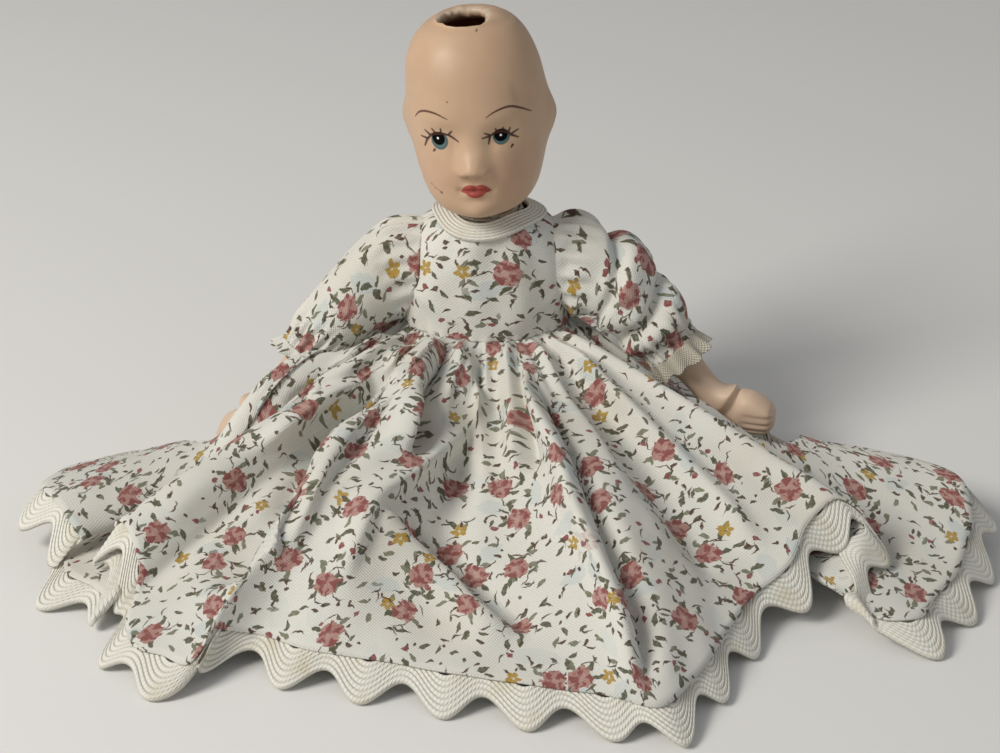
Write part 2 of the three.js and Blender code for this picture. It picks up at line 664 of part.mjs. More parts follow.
function sleeveSolid(pose, group) {
  const seam = vector(pose.side * SLEEVE_HEAD.side, 0, SLEEVE_HEAD.height);
  const along = armDirection(pose);
  const cuff = shoulderSeam(pose).addScaledVector(along, SLEEVE.cuff);
  const path = new THREE.CubicBezierCurve3(
    seam,
    seam.clone().add(vector(pose.side * pose.bulge, 0, 0)),
    cuff.clone().addScaledVector(along, -pose.bulge),
    cuff,
  );
  const way = (share) => vector(pose.side, 0, 0).lerp(along, share).normalize();
  const ring = ([share, tall, deep, gather], inset) =>
    sleeveRing(path.getPoint(share), way(share), tall - inset, deep - inset, gather);
  const hem = (inset) => {
    const end = cuff.clone().addScaledVector(along, SLEEVE.end - SLEEVE.cuff);
    return sleeveRing(end, along, SLEEVE.cuffRadius + 0.3 - inset, SLEEVE.cuffRadius + 0.3 - inset, 0);
  };
  const outer = [...SLEEVE_ROWS.map((row) => ring(row, 0)), hem(0)];
  const inner = [...SLEEVE_ROWS.map((row) => ring(row, CLOTH)), hem(CLOTH)].reverse();
  group.updateMatrixWorld();
  return loft([...outer, ...inner], true).applyMatrix4(group.matrixWorld.clone().invert());
}

// Gathered lace sewn round the end of the sleeve.
function frillSolid() {
  const steps = FRILL.waves * FRILL_STEPS;
  const ring = (radius, along, share) =>
    Array.from({ length: steps }, (_, j) => {
      const angle = (j / steps) * TURN;
      const reach = radius + share * FRILL.depth * Math.cos(FRILL.waves * angle);
      return vector(reach * Math.cos(angle), reach * Math.sin(angle), along);
    });
  const foot = SLEEVE.end + GAP;
  const tip = foot + FRILL.width;
  const base = SLEEVE.cuffRadius + 0.3;
  const flare = base + FRILL.depth;
  return loft([ring(base, foot, 0), ring(flare, tip, 1), ring(flare - CLOTH, tip, 1), ring(base - CLOTH, foot, 0)], true);
}

function elasticSolid() {
  const outside = SLEEVE.cuffRadius - CLOTH - GAP;
  return flatRing(outside - ELASTIC.thickness, ELASTIC.thickness, SLEEVE.cuff - ELASTIC.width / 2, SLEEVE.cuff + ELASTIC.width / 2);
}

// Bodice: one front and two backs, cut away round the shoulders

const SIDE_SEAM = 1.5 * DEG; // half of the open angle at each side seam
const bodiceFoot = stationShare(WAIST_STATION) + 0.006;
const bodiceTop = stationShare(NECK_STATION);
const LAP_TRIM = 0.16; // the lapping back stops this share of the torso's side below the neckline
const lappedOffset = GAP + CLOTH + SNAP_ROOM;

// Panel round the torso between two azimuths, counted from the front towards +X, lifted where it laps another.
function bodicePanel(from, to, lapAt) {
  const columns = 10;
  const grid = (thickness) =>
    shares(0, 1, 7).map((up) =>
      shares(from, to, columns).map((azimuth) => {
        const lap = lapAt(azimuth);
        const share = lerp(bodiceFoot, bodiceTop - lap * LAP_TRIM, up);
        const { x, y, z } = torsoSection(share, lerp(GAP, lappedOffset, lap) + thickness);
        return vector(x * Math.sin(azimuth), -y * Math.cos(azimuth), z);
      }),
    );
  const armholes = [-1, 1].map((side) =>
    new THREE.CylinderGeometry(ARMHOLE_RADIUS, ARMHOLE_RADIUS, 14, 16)
      .rotateZ(Math.PI / 2)
      .translate(side * SHOULDER_SEAM.side, 0, SHOULDER_SEAM.height),
  );
  const sheet = solidOf(panel(grid(CLOTH), grid(0)));
  return geometryFrom(armholes.reduce((left, hole) => left.subtract(solidOf(hole)), sheet));
}

// Share of the lap at an azimuth: whole over the snaps, none from three overlaps away.
const lapShare = (azimuth) => 1 - THREE.MathUtils.smoothstep(azimuth, -Math.PI + OVERLAP, -Math.PI + 3 * OVERLAP);

// One half of a snap fastener on the middle of the back: a disc facing +Y.
function snapDisc(height, offset, bore) {
  const share = heightShare(height);
  const { y } = torsoSection(share, offset);
  const profile = [
    new THREE.Vector2(bore, 0),
    new THREE.Vector2(SNAP.radius, 0),
    new THREE.Vector2(SNAP.radius * 0.8, SNAP.thickness),
    new THREE.Vector2(bore, SNAP.thickness),
    new THREE.Vector2(bore, 0),
  ];
  return new THREE.LatheGeometry(profile, 16).translate(0, y, height);
}

function heightShare(height) {
  const many = shares(0, 1, 400);
  return many.find((share) => torsoSide.getPoint(share).z >= height);
}

function bodice() {
  const group = new THREE.Group();
  const quarter = Math.PI / 2;
  const plain = () => 0;
  const front = bodicePanel(-quarter + SIDE_SEAM, quarter - SIDE_SEAM, plain);
  const left = bodicePanel(quarter + SIDE_SEAM, Math.PI + OVERLAP / 2, plain);
  const right = bodicePanel(-Math.PI - OVERLAP / 2, -quarter - SIDE_SEAM, lapShare);
  group.add(named("bodice_front", front, materials.print));
  group.add(named("bodice_back_left", left, materials.print));
  group.add(named("bodice_back_right", right, materials.print));
  const under = GAP + CLOTH + 0.3;
  const over = lappedOffset - SNAP.thickness - 0.2;
  ["waist", "nape"].forEach((place, i) => {
    const stud = snapDisc(SNAP.heights[i], under, 0.35);
    const socket = snapDisc(SNAP.heights[i], over, 0.7);
    group.add(named(`snap_stud_${place}`, stud, materials.snap));
    group.add(named(`snap_socket_${place}`, socket, materials.snap));
  });
  return group;
}

// Skirt: a gathered length of print that spreads on the floor in front and at the sides

const polar = (azimuth, reach, z) => vector(reach * Math.sin(azimuth), -reach * Math.cos(azimuth), z);
const hemCurve = new THREE.CatmullRomCurve3(
  HEM.map(([azimuth, reach, lift]) => polar(azimuth * DEG, (reach / 100) * SKIRT_RADIUS, lift)),
  true,
  "centripetal",
);
hemCurve.arcLengthDivisions = 1200;
const hangCurve = new THREE.CatmullRomCurve3(
  HEM.map(([, , , fall, crest, sway]) => vector(fall, crest, sway)),
  true,
);

// Share of the hem's length at which it crosses the front.
const frontShare = shares(0, 1, 1000).find((share) => {
  const { x, y } = hemCurve.getPointAt(share);
  return y < 0 && x > 0;
});

// Highest the cloth can lie at a place under an arm that rests on it.
function underArms(x, y, z) {
  const restsAt = [ARM_LEFT, ARM_RIGHT].map((pose) => {
    const seam = shoulderSeam(pose);
    const along = armDirection(pose);
    const plan = Math.hypot(along.x, along.y);
    const [dx, dy] = [x - seam.x, y - seam.y];
    const reach = clamp((dx * along.x + dy * along.y) / plan ** 2, 0, UPPER_ARM_LENGTH + FOREARM_LENGTH);
    const aside = Math.hypot(dx - reach * along.x, dy - reach * along.y);
    const sleeved = reach < SLEEVE.end + FRILL.width + 2;
    const thick = sleeved ? SLEEVE.puff + FRILL.depth : FOREARM_RADIUS + FRILL.depth;
    const below = seam.z + along.z * reach - thick - 2;
    const steep = sleeved ? 0.8 : 3;
    return below + steep * Math.max(0, aside - thick * 0.9);
  });
  return Math.max(CLOTH + 0.3, Math.min(z, ...restsAt));
}

// Point of the skirt at a share round the hem and a share down from the waist.
function skirtPoint(round, down) {
  const share = ((round % 1) + 1) % 1;
  const place = hemCurve.getUtoTmapping(share);
  const hem = hemCurve.getPoint(place);
  const { x: fall, y: crest, z: sway } = hangCurve.getPoint(place);
  const azimuth = (share - frontShare) * TURN;
  const waist = torsoSection(stationShare(WAIST_STATION), GAP + CLOTH + 0.2);
  const middle = 4 * down * (1 - down);
  const aside = (sway * middle) / Math.hypot(hem.x, hem.y);
  const x = lerp(waist.x * Math.sin(azimuth), hem.x, down) + aside * hem.y;
  const y = lerp(-waist.y * Math.cos(azimuth), hem.y, down) - aside * hem.x;
  const hang = hem.z + (WAIST.height - hem.z) * (1 - down) ** fall + crest * middle;
  const gather = GATHER.height * Math.cos(GATHER.folds * share * TURN) * 4 * down * (1 - down) ** 2;
  return vector(x, y, underArms(x, y, hang + gather));
}

const skirtRows = shares(0, 1, SKIRT_ROWS).map((share) => share ** 1.25);

// Ways along the hem, down the cloth and out of it, at a place on the skirt.
function skirtWays(round, down) {
  const step = 1e-3;
  const along = skirtPoint(round + step, down).sub(skirtPoint(round - step, down)).normalize();
  const higher = Math.max(0, down - step * 10);
  const lower = Math.min(1, down + step * 10);
  const fall = skirtPoint(round, lower).sub(skirtPoint(round, higher)).normalize();
  return { along, fall, out: along.clone().cross(fall).negate().normalize() };
}

// The skirt's cloth, thickened on both sides by a margin where it is a cutter.
function skirtSolid(margin = 0) {
  const ring = (down, inset) =>
    Array.from({ length: AROUND_SKIRT }, (_, j) => {
      const round = j / AROUND_SKIRT;
      return skirtPoint(round, down).addScaledVector(skirtWays(round, down).out, -inset);
    });
  const outer = skirtRows.map((down) => ring(down, -margin)).reverse();
  const inner = skirtRows.map((down) => ring(down, CLOTH + margin));
  return loft([...outer, ...inner], true);
}

// Rick-rack: a flat braid that swings from side to side, sewn behind an edge.
// The edge's ways run back up the cloth, outward down the braid and behind both.
function braidSections(steps, waves, braid, edgeAt) {
  return Array.from({ length: steps }, (_, j) => {
    const { edge, upward, outward, behind } = edgeAt(j / steps);
    const middle = braid.hang + braid.swing * Math.cos((j / steps) * waves * TURN);
    const corner = (across, deep) => {
      const past = Math.max(middle + across * braid.width, -braid.tuck);
      const way = past < 0 && upward ? upward : outward;
      const length = way === upward ? -past : past;
      return edge.clone().addScaledVector(way, length).addScaledVector(behind, deep * braid.thickness);
    };
    return [corner(-0.5, 0), corner(0.5, 0), corner(0.5, 1), corner(-0.5, 1)];
  });
}

// Edge of the hem at each column of the skirt's mesh, with the ways up the cloth, down the braid and behind both.
function hemColumn(j) {
  const round = j / AROUND_SKIRT;
  const { along, out } = skirtWays(round, 1);
  const hem = skirtPoint(round, 1);
  const edge = hem.clone().addScaledVector(out, -CLOTH - GAP);
  const upward = skirtPoint(round, skirtRows.at(-2)).sub(hem).normalize();
  const reach = BRAID.hang + BRAID.swing + BRAID.width / 2;
  const sink = clamp((edge.z - BRAID.thickness - BRAID_FOOT) / reach, 0, Math.sin(BRAID_SLANT));
  const outward = upward.clone().negate().setZ(0).normalize().multiplyScalar(Math.sqrt(1 - sink ** 2)).setZ(-sink);
  const behind = along.cross(outward).normalize();
  return { edge, upward, outward, behind };
}

function hemBraid() {
  const waves = Math.round(hemCurve.getLength() / BRAID.pitch);
  const rough = Array.from({ length: AROUND_SKIRT }, (_, j) => hemColumn(j));
  const evened = (j, way) =>
    shares(-EVENED, EVENED, 2 * EVENED)
      .reduce((sum, k) => sum.add(rough.at((j + k) % AROUND_SKIRT)[way]), vector(0, 0, 0))
      .normalize();
  const columns = rough.map(({ edge }, j) => ({
    edge,
    upward: evened(j, "upward"),
    outward: evened(j, "outward"),
    behind: evened(j, "behind"),
  }));
  const sections = braidSections(waves * BRAID_STEPS, waves, BRAID, (round) => {
    const column = Math.floor(round * AROUND_SKIRT);
    const between = round * AROUND_SKIRT - column;
    const [here, next] = [columns[column], columns[(column + 1) % AROUND_SKIRT]];
    const upward = here.upward.clone().lerp(next.upward, between).normalize();
    const outward = here.outward.clone().lerp(next.outward, between).normalize();
    const behind = here.behind.clone().lerp(next.behind, between).normalize();
    return { edge: here.edge.clone().lerp(next.edge, between), upward, outward, behind };
  });
  const braid = solidOf(loft(sections, true));
  const room = [GAP * 0.8, GAP * 0.4].map((margin) => solidOf(skirtSolid(margin)));
  return geometryFrom(largestBody(room.reduce((left, cloth) => left.subtract(cloth), braid)));
}

function collarBraid() {
  const steps = COLLAR.waves * BRAID_STEPS * 2;
  const { x: width, z: height } = torsoSection(bodiceTop, GAP + CLOTH);
  const [level, rise] = [Math.cos(COLLAR.slope), Math.sin(COLLAR.slope)];
  const lie = height + 2 * GAP + COLLAR.thickness - (COLLAR.radius - width) * Math.tan(COLLAR.slope);
  const sections = braidSections(steps, COLLAR.waves, COLLAR, (round) => {
    const angle = -Math.PI / 2 + round * TURN;
    const outward = vector(level * Math.cos(angle), level * Math.sin(angle), -rise);
    const behind = vector(-rise * Math.cos(angle), -rise * Math.sin(angle), -level);
    const edge = vector(COLLAR.radius * Math.cos(angle), COLLAR.radius * Math.sin(angle), lie);
    return { edge, outward, behind };
  });
  return loft(sections, true);
}

function skirt() {
  const group = new THREE.Group();
  group.add(named("skirt", skirtSolid(), materials.print));
  group.add(named("hem_rickrack", hemBraid(), materials.braid));
  group.add(named("collar_rickrack", collarBraid(), materials.braid));
  return group;
}

const doll = new THREE.Group();
doll.add(torso(), head(), bodice(), skirt());
doll.add(arm(ARM_LEFT, "left"), arm(ARM_RIGHT, "right"), leg(1, "left"), leg(-1, "right"));

export default doll;
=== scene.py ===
"""Cloth doll with a bisque head and limbs, in a floral cotton dress edged with rick-rack braid."""

import logging
import math
from dataclasses import dataclass
from enum import Enum
from typing import Callable, Iterator, Sequence

import bpy
import numpy as np
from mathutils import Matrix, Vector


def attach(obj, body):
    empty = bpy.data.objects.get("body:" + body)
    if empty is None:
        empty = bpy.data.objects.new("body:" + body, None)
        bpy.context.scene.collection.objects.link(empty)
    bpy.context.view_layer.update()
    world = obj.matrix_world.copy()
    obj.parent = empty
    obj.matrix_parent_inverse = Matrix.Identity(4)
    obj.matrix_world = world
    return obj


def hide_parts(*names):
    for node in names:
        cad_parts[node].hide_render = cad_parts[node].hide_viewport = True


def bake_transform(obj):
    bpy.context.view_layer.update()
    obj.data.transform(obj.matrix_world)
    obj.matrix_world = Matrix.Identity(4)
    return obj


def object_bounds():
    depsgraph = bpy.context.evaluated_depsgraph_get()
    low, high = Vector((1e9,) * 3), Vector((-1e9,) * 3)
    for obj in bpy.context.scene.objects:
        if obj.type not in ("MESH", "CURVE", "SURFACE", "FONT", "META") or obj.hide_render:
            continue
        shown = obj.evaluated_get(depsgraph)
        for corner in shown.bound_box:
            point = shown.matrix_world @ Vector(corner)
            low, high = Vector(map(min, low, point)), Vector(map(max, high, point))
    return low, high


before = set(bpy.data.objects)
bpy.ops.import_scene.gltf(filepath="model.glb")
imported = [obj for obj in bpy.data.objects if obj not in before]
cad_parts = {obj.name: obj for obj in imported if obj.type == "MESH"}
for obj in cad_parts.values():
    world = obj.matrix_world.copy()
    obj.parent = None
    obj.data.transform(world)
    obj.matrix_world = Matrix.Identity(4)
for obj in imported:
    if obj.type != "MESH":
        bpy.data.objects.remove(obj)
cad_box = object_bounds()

Array = np.ndarray
Piece = bpy.types.Object
Finish = bpy.types.Material
Socket = bpy.types.NodeSocket
Colour = tuple[float, float, float, float]
Spot = tuple[float, float]
Place = tuple[float, float, float]
Rows = tuple[tuple[float, ...], ...]
Layers = Iterator[tuple[Colour, Socket]]
Lay = Callable[[Array, Array], Array]
log = logging.getLogger("doll")

# Shapes are worked out in millimetres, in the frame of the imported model
MM = 0.001
TURN = 2 * math.pi
DEG = math.pi / 180
CLOTH = 0.45  # thickness of the print
GAP = 0.35  # room between pieces that lie against each other
CURVE_STEPS = 24  # samples between two knots of a curve
LEAST_STRIDE = 1e-3
TINY = 1e-9
WELD = 1e-7  # metres

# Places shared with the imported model
NECK_SEAT = 45.6
HEAD_YAW = -6.5 * DEG
HEAD_ROLL = -4 * DEG
SHOULDER_SIDE = 17.4
SHOULDER_HEIGHT = 43.6
HIP_SIDE = 8.5
HIP_FRONT = 14.97
HIP_HEIGHT = 6.4
UPPER_ARM = 24.4
FOREARM = 31.0
HAND = 13.0
LIMB_TUCK = 4.0
LIMB_WALL = 1.5
LIMB_BORE = 5.0  # depth of the hollow top of a bisque limb
UPPER_LEG = 26.0
LOWER_LEG = 36.0
LEG_SPLAY = 22 * DEG
LEG_PITCH = 1.6 * DEG
CUFF = 26.4
CUFF_RADIUS = 5.3
SLEEVE_END = 28.4
WAIST_HEIGHT = 27.0


class Side(Enum):
    """A side of the doll, named as the doll itself would name it."""

    LEFT = 1
    RIGHT = -1

    @property
    def word(self) -> str:
        """The side's name in lower case."""
        return self.name.lower()


class Hold(Enum):
    """How a sheet of the dress is held."""

    GATHERED = "gathered"
    STRETCHED = "stretched"


def bell(value: Array, width: float) -> Array:
    """Rounded hump of height one about nought."""
    return np.exp(-((np.asarray(value) / width) ** 2))


def ease(value: Array, low: float, high: float) -> Array:
    """Share that rises smoothly from nought at low to one at high."""
    share = np.clip((np.asarray(value, float) - low) / (high - low), 0, 1)
    return share * share * (3 - 2 * share)


def unit(ways: Array) -> Array:
    """Vectors of length one."""
    return ways / np.maximum(np.linalg.norm(ways, axis=-1, keepdims=True), TINY)


def mixed(first: Array, second: Array, share: Array) -> Array:
    """A share of the way from the first to the second."""
    return first + (second - first) * share


def joined(*parts: Array) -> Array:
    """Parts of places, stretched to one another's shape and put side by side."""
    return np.stack(np.broadcast_arrays(*parts), axis=-1)


def turns(count: int) -> Array:
    """Even angles of one full turn."""
    return np.linspace(0, TURN, count, endpoint=False)


def summed(steps: Array) -> Array:
    """Running totals of rows of steps, from nought."""
    return np.concatenate([0 * steps[:1], np.cumsum(steps, axis=0)])


def through(knots: Array, count: int, closed: bool = False, measured: int = 3) -> Array:
    """Samples a smooth curve through knots at even steps of its length.

    Args:
        knots: Points to pass through, one row each.
        count: Number of samples.
        closed: Whether the last knot leads back to the first.
        measured: Number of leading channels that count as length.

    Returns:
        Samples, one row each.
    """
    knots = np.asarray(knots, float)
    if closed:
        before, first, second, after = (np.roll(knots, shift, axis=0) for shift in (1, 0, -1, -2))
    else:
        ends = np.vstack([2 * knots[0] - knots[1], knots, 2 * knots[-1] - knots[-2]])
        before, first, second, after = ends[:-3], ends[1:-2], ends[2:-1], ends[3:]

    def stride(start: Array, stop: Array) -> Array:
        """Root of the distance between two rows of knots."""
        distance = np.linalg.norm((stop - start)[:, :measured], axis=1, keepdims=True)
        return np.maximum(distance**0.5, LEAST_STRIDE)

    past, here, ahead = stride(before, first), stride(first, second), stride(second, after)
    leave = ((first - before) / past - (second - before) / (past + here) + (second - first) / here) * here
    arrive = ((second - first) / here - (after - first) / (here + ahead) + (after - second) / ahead) * here
    step = np.linspace(0, 1, CURVE_STEPS, endpoint=False)[:, None, None]
    cube, square = step**3, step**2
    fine = (2 * cube - 3 * square + 1) * first + (cube - 2 * square + step) * leave
    fine = fine + (3 * square - 2 * cube) * second + (cube - square) * arrive
    fine = fine.transpose(1, 0, 2).reshape(-1, knots.shape[1])
    fine = np.vstack([fine, knots[:1] if closed else knots[-1:]])
    length = summed(np.linalg.norm(np.diff(fine[:, :measured], axis=0), axis=1))
    where = np.linspace(0, length[-1], count, endpoint=not closed)
    return np.stack([np.interp(where, length, channel) for channel in fine.T], axis=1)


def nearest_on(knots: Array, places: Array) -> tuple[Array, Array, Array, Array]:
    """Finds the nearest spots of a bent line in a plane.

    Args:
        knots: Points of the line.
        places: Points to measure from.

    Returns:
        Distance, steps along the line, offset along the second axis, and a number under nought on the right.
    """
    start, way = knots[:-1], np.diff(knots, axis=0)
    offset = places[..., None, :] - start
    share = np.clip((offset * way).sum(-1) / (way**2).sum(-1), 0, 1)
    apart = offset - share[..., None] * way
    reach = np.hypot(apart[..., 0], apart[..., 1])
    turn = way[..., 0] * apart[..., 1] - way[..., 1] * apart[..., 0]
    best = reach.argmin(axis=-1)[..., None]
    parts = (reach, share, apart[..., 1], turn)
    distance, along, aside, right = (np.take_along_axis(part, best, -1)[..., 0] for part in parts)
    return distance, best[..., 0] + along, aside, right


def ripple(place: Array, seed: int, longest: float, shortest: float, waves: int = 7) -> Array:
    """Smooth unevenness between about -1 and 1.

    Args:
        place: Points, one per row of the last axis.
        seed: Seed of the draw.
        longest: Longest wave, in the units of place.
        shortest: Shortest wave.
        waves: Number of waves added up.

    Returns:
        One number for each point.
    """
    draw = np.random.default_rng(seed)
    total = np.zeros(place.shape[:-1])
    for _ in range(waves):
        way = unit(draw.normal(size=place.shape[-1]))
        length = draw.uniform(shortest, longest)
        total = total + np.sin(TURN * (place @ way) / length + draw.uniform(0, TURN))
    return total / math.sqrt(waves)


def evened(rows: Array, reach: int) -> Array:
    """Moving average of the rows of a closed ring, over a reach of rows to each side."""
    return sum(np.roll(rows, shift, axis=0) for shift in range(-reach, reach + 1)) / (2 * reach + 1)


def ways_out(points: Array) -> Array:
    """Unit ways out of a grid of points whose last column leads back to its first."""
    across = np.roll(points, -1, axis=1) - np.roll(points, 1, axis=1)
    return unit(np.cross(np.gradient(points, axis=0), across))


def lay_grid(name: str, points: Array, uv: Array, flipped: bool = False) -> Piece:
    """Lays a grid primitive over rows of points and welds the edges that meet.

    Args:
        name: Name of the piece.
        points: Rows and columns of points, in millimetres.
        uv: Place on the pattern for each point.
        flipped: Whether the faces have to be turned to point outwards.

    Returns:
        The new piece.
    """
    rows, columns = points.shape[:2]
    bpy.ops.object.select_all(action="DESELECT")
    bpy.ops.mesh.primitive_grid_add(x_subdivisions=columns - 1, y_subdivisions=rows - 1, size=2)
    piece = bpy.context.object
    piece.name = name
    mesh = piece.data
    mesh.name = name
    flat = np.empty(len(mesh.vertices) * 3)
    mesh.vertices.foreach_get("co", flat)
    spot = flat.reshape(-1, 3)
    column = np.rint((spot[:, 0] + 1) / 2 * (columns - 1)).astype(int)
    row = np.rint((spot[:, 1] + 1) / 2 * (rows - 1)).astype(int)
    mesh.vertices.foreach_set("co", (points[row, column] * MM).astype(np.float32).ravel())
    corner = np.empty(len(mesh.loops), dtype=np.int32)
    mesh.loops.foreach_get("vertex_index", corner)
    mesh.uv_layers[0].data.foreach_set("uv", uv[row[corner], column[corner]].astype(np.float32).ravel())
    bpy.ops.object.mode_set(mode="EDIT")
    bpy.ops.mesh.select_all(action="SELECT")
    bpy.ops.mesh.remove_doubles(threshold=WELD)
    if flipped:
        bpy.ops.mesh.flip_normals()
    bpy.ops.object.mode_set(mode="OBJECT")
    bpy.ops.object.shade_smooth()
    return piece


def closed_ring(points: Array) -> Array:
    """Grid with its first column repeated as its last."""
    return np.concatenate([points, points[:, :1]], axis=1)


def lengths_round(ring: Array) -> Array:
    """Lengths along a closed ring, from its first point round to the same point."""
    return summed(np.linalg.norm(np.roll(ring, -1, axis=0) - ring, axis=1))


def rising(length: float) -> Array:
    """A step of a length along the third axis."""
    return np.array([0, 0, length])


def face_outward(piece: Piece) -> None:
    """Turns the faces of a closed or open shell outwards.

    Args:
        piece: Mesh to turn.
    """
    bpy.context.view_layer.objects.active = piece
    bpy.ops.object.mode_set(mode="EDIT")
    bpy.ops.mesh.select_all(action="SELECT")
    bpy.ops.mesh.normals_make_consistent(inside=False)
    bpy.ops.object.mode_set(mode="OBJECT")


def thicken(piece: Piece, thickness: float) -> None:
    """Gives a sheet its thickness, inwards from its faces.

    Args:
        piece: Sheet of faces.
        thickness: Thickness in millimetres.
    """
    modifier = piece.modifiers.new("thickness", "SOLIDIFY")
    modifier.thickness = thickness * MM
    modifier.offset = -1
    bpy.context.view_layer.objects.active = piece
    bpy.ops.object.modifier_apply(modifier=modifier.name)


def dress(piece: Piece, finish: Finish, replaced: Sequence[str] = ()) -> None:
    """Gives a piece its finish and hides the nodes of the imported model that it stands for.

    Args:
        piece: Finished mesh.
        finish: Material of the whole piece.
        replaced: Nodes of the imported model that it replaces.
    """
    piece.data.materials.clear()
    piece.data.materials.append(finish)
    if replaced:
        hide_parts(*replaced)
    log.info("%s: %d faces", piece.name, len(piece.data.polygons))


class Graph:
    """Nodes of one material, joined by short calls."""

    layer_slope = 0.61
    leaf_edge = (-0.05, 0.13)
    mix_inputs = (0, 6, 7)

    def __init__(self, name: str) -> None:
        """Starts a material with a shader and nothing else."""
        self.material = bpy.data.materials.new(name)
        self.material.use_nodes = True
        self.tree = self.material.node_tree
        self.tree.nodes.clear()
        self.shader = self.tree.nodes.new("ShaderNodeBsdfPrincipled")
        output = self.tree.nodes.new("ShaderNodeOutputMaterial")
        self.tree.links.new(self.shader.outputs[0], output.inputs[0])

    def put(self, socket: Socket, value: object) -> None:
        """Links a socket to another, or sets its number or colour."""
        if isinstance(value, bpy.types.NodeSocket):
            self.tree.links.new(value, socket)
        else:
            socket.default_value = value

    def add(self, kind: str, inputs: dict[str, object] | None = None, **settings: object) -> bpy.types.Node:
        """Adds a node.

        Args:
            kind: Node type after its usual first words.
            inputs: Values or sockets by the name of the input.
            settings: Properties of the node.

        Returns:
            The node.
        """
        node = self.tree.nodes.new("ShaderNode" + kind)
        for key, value in settings.items():
            setattr(node, key, value)
        for key, value in (inputs or {}).items():
            self.put(node.inputs[key], value)
        return node

    def shade(self, inputs: dict[str, object]) -> None:
        """Sets sockets of the shader by their names."""
        for key, value in inputs.items():
            self.put(self.shader.inputs[key], value)

    def fed(self, node: bpy.types.Node, values: Sequence[object]) -> bpy.types.Node:
        """Node with its inputs fed in their order."""
        for socket, value in zip(node.inputs, values):
            self.put(socket, value)
        return node

    def math(self, operation: str, *values: object) -> Socket:
        """Result of a sum on numbers."""
        return self.fed(self.add("Math", operation=operation), values).outputs[0]

    def vector(self, operation: str, *values: object) -> Socket:
        """Result of a sum on vectors."""
        name = "Value" if operation in ("DOT_PRODUCT", "LENGTH", "DISTANCE") else "Vector"
        return self.fed(self.add("VectorMath", operation=operation), values).outputs[name]

    def times(self, first: object, second: object) -> Socket:
        """Product of two numbers."""
        return self.math("MULTIPLY", first, second)

    def place(self, kind: str = "Object") -> Socket:
        """Place on the doll, or on the flat pattern of a piece."""
        return self.add("TexCoord").outputs[kind]

    def parts(self, vector: Socket) -> Sequence[Socket]:
        """The three numbers of a vector."""
        return self.add("SeparateXYZ", {"Vector": vector}).outputs

    def spun(self, vector: Socket, angle: object) -> Socket:
        """Vector turned in the plane of the cloth."""
        inputs = {"Vector": vector, "Angle": angle}
        return self.add("VectorRotate", inputs, rotation_type="Z_AXIS").outputs[0]

    def fade(self, value: Socket, low: float, high: float) -> Socket:
        """Share that rises smoothly from nought at low to one at high."""
        limits = {"Value": value, "From Min": low, "From Max": high}
        return self.add("MapRange", limits, interpolation_type="SMOOTHSTEP").outputs[0]

    def mix(self, share: object, first: object, second: object, blend: str = "MIX") -> Socket:
        """Colour between two colours, or another blend of them."""
        node = self.add("Mix", data_type="RGBA", blend_type=blend)
        for index, value in zip(self.mix_inputs, (share, first, second)):
            self.put(node.inputs[index], value)
        return node.outputs[2]

    def noise(self, place: Socket, scale: float, detail: float = 2.0) -> Socket:
        """Cloudy number between nought and one."""
        return self.add("TexNoise", {"Vector": place, "Scale": scale, "Detail": detail}).outputs[0]

    def bump(self, height: Socket, depth: float) -> Socket:
        """Normal of a relief of a depth in millimetres."""
        return self.add("Bump", {"Height": height, "Distance": depth * MM, "Strength": 1.0}).outputs[0]

    def scatter(
        self, place: Socket, cell: float, shift: float, spread: float
    ) -> tuple[Socket, Sequence[Socket]]:
        """Turned offsets from the nearest of many scattered middles.

        Args:
            place: Place on the cloth in millimetres.
            cell: Distance between middles.
            shift: Offset that sets one layer apart from another.
            spread: How far the middles leave their rows.

        Returns:
            Offset in millimetres, and three numbers drawn for the middle.
        """
        moved = self.vector("ADD", place, (shift, shift * self.layer_slope, 0))
        settings = {"Vector": moved, "Scale": 1 / cell, "Randomness": spread}
        cells = self.add("TexVoronoi", settings, voronoi_dimensions="2D")
        offset = self.vector("SUBTRACT", moved, cells.outputs["Position"])
        draws = self.add("SeparateColor", {"Color": cells.outputs["Color"]}).outputs
        return self.spun(offset, self.times(draws[0], TURN)), draws

    def leaf(self, offset: Socket, middle: Spot, size: Spot, turn: float, bend: float) -> Socket:
        """Mask of a pointed leaf or a brush stroke.

        Args:
            offset: Offset from the motif's middle.
            middle: Middle of the leaf.
            size: Half length and half width.
            turn: Turn of the leaf.
            bend: How far it curves aside for each squared millimetre.

        Returns:
            One inside, nought outside.
        """
        moved = self.vector("SUBTRACT", offset, (*middle, 0))
        along, aside, _ = self.parts(self.spun(moved, turn))
        square = self.times(along, along)
        edge = self.math("MULTIPLY_ADD", square, -size[1] / size[0] ** 2, size[1])
        curved = self.math("ABSOLUTE", self.math("MULTIPLY_ADD", square, -bend, aside))
        return self.fade(self.math("SUBTRACT", edge, curved), *self.leaf_edge)


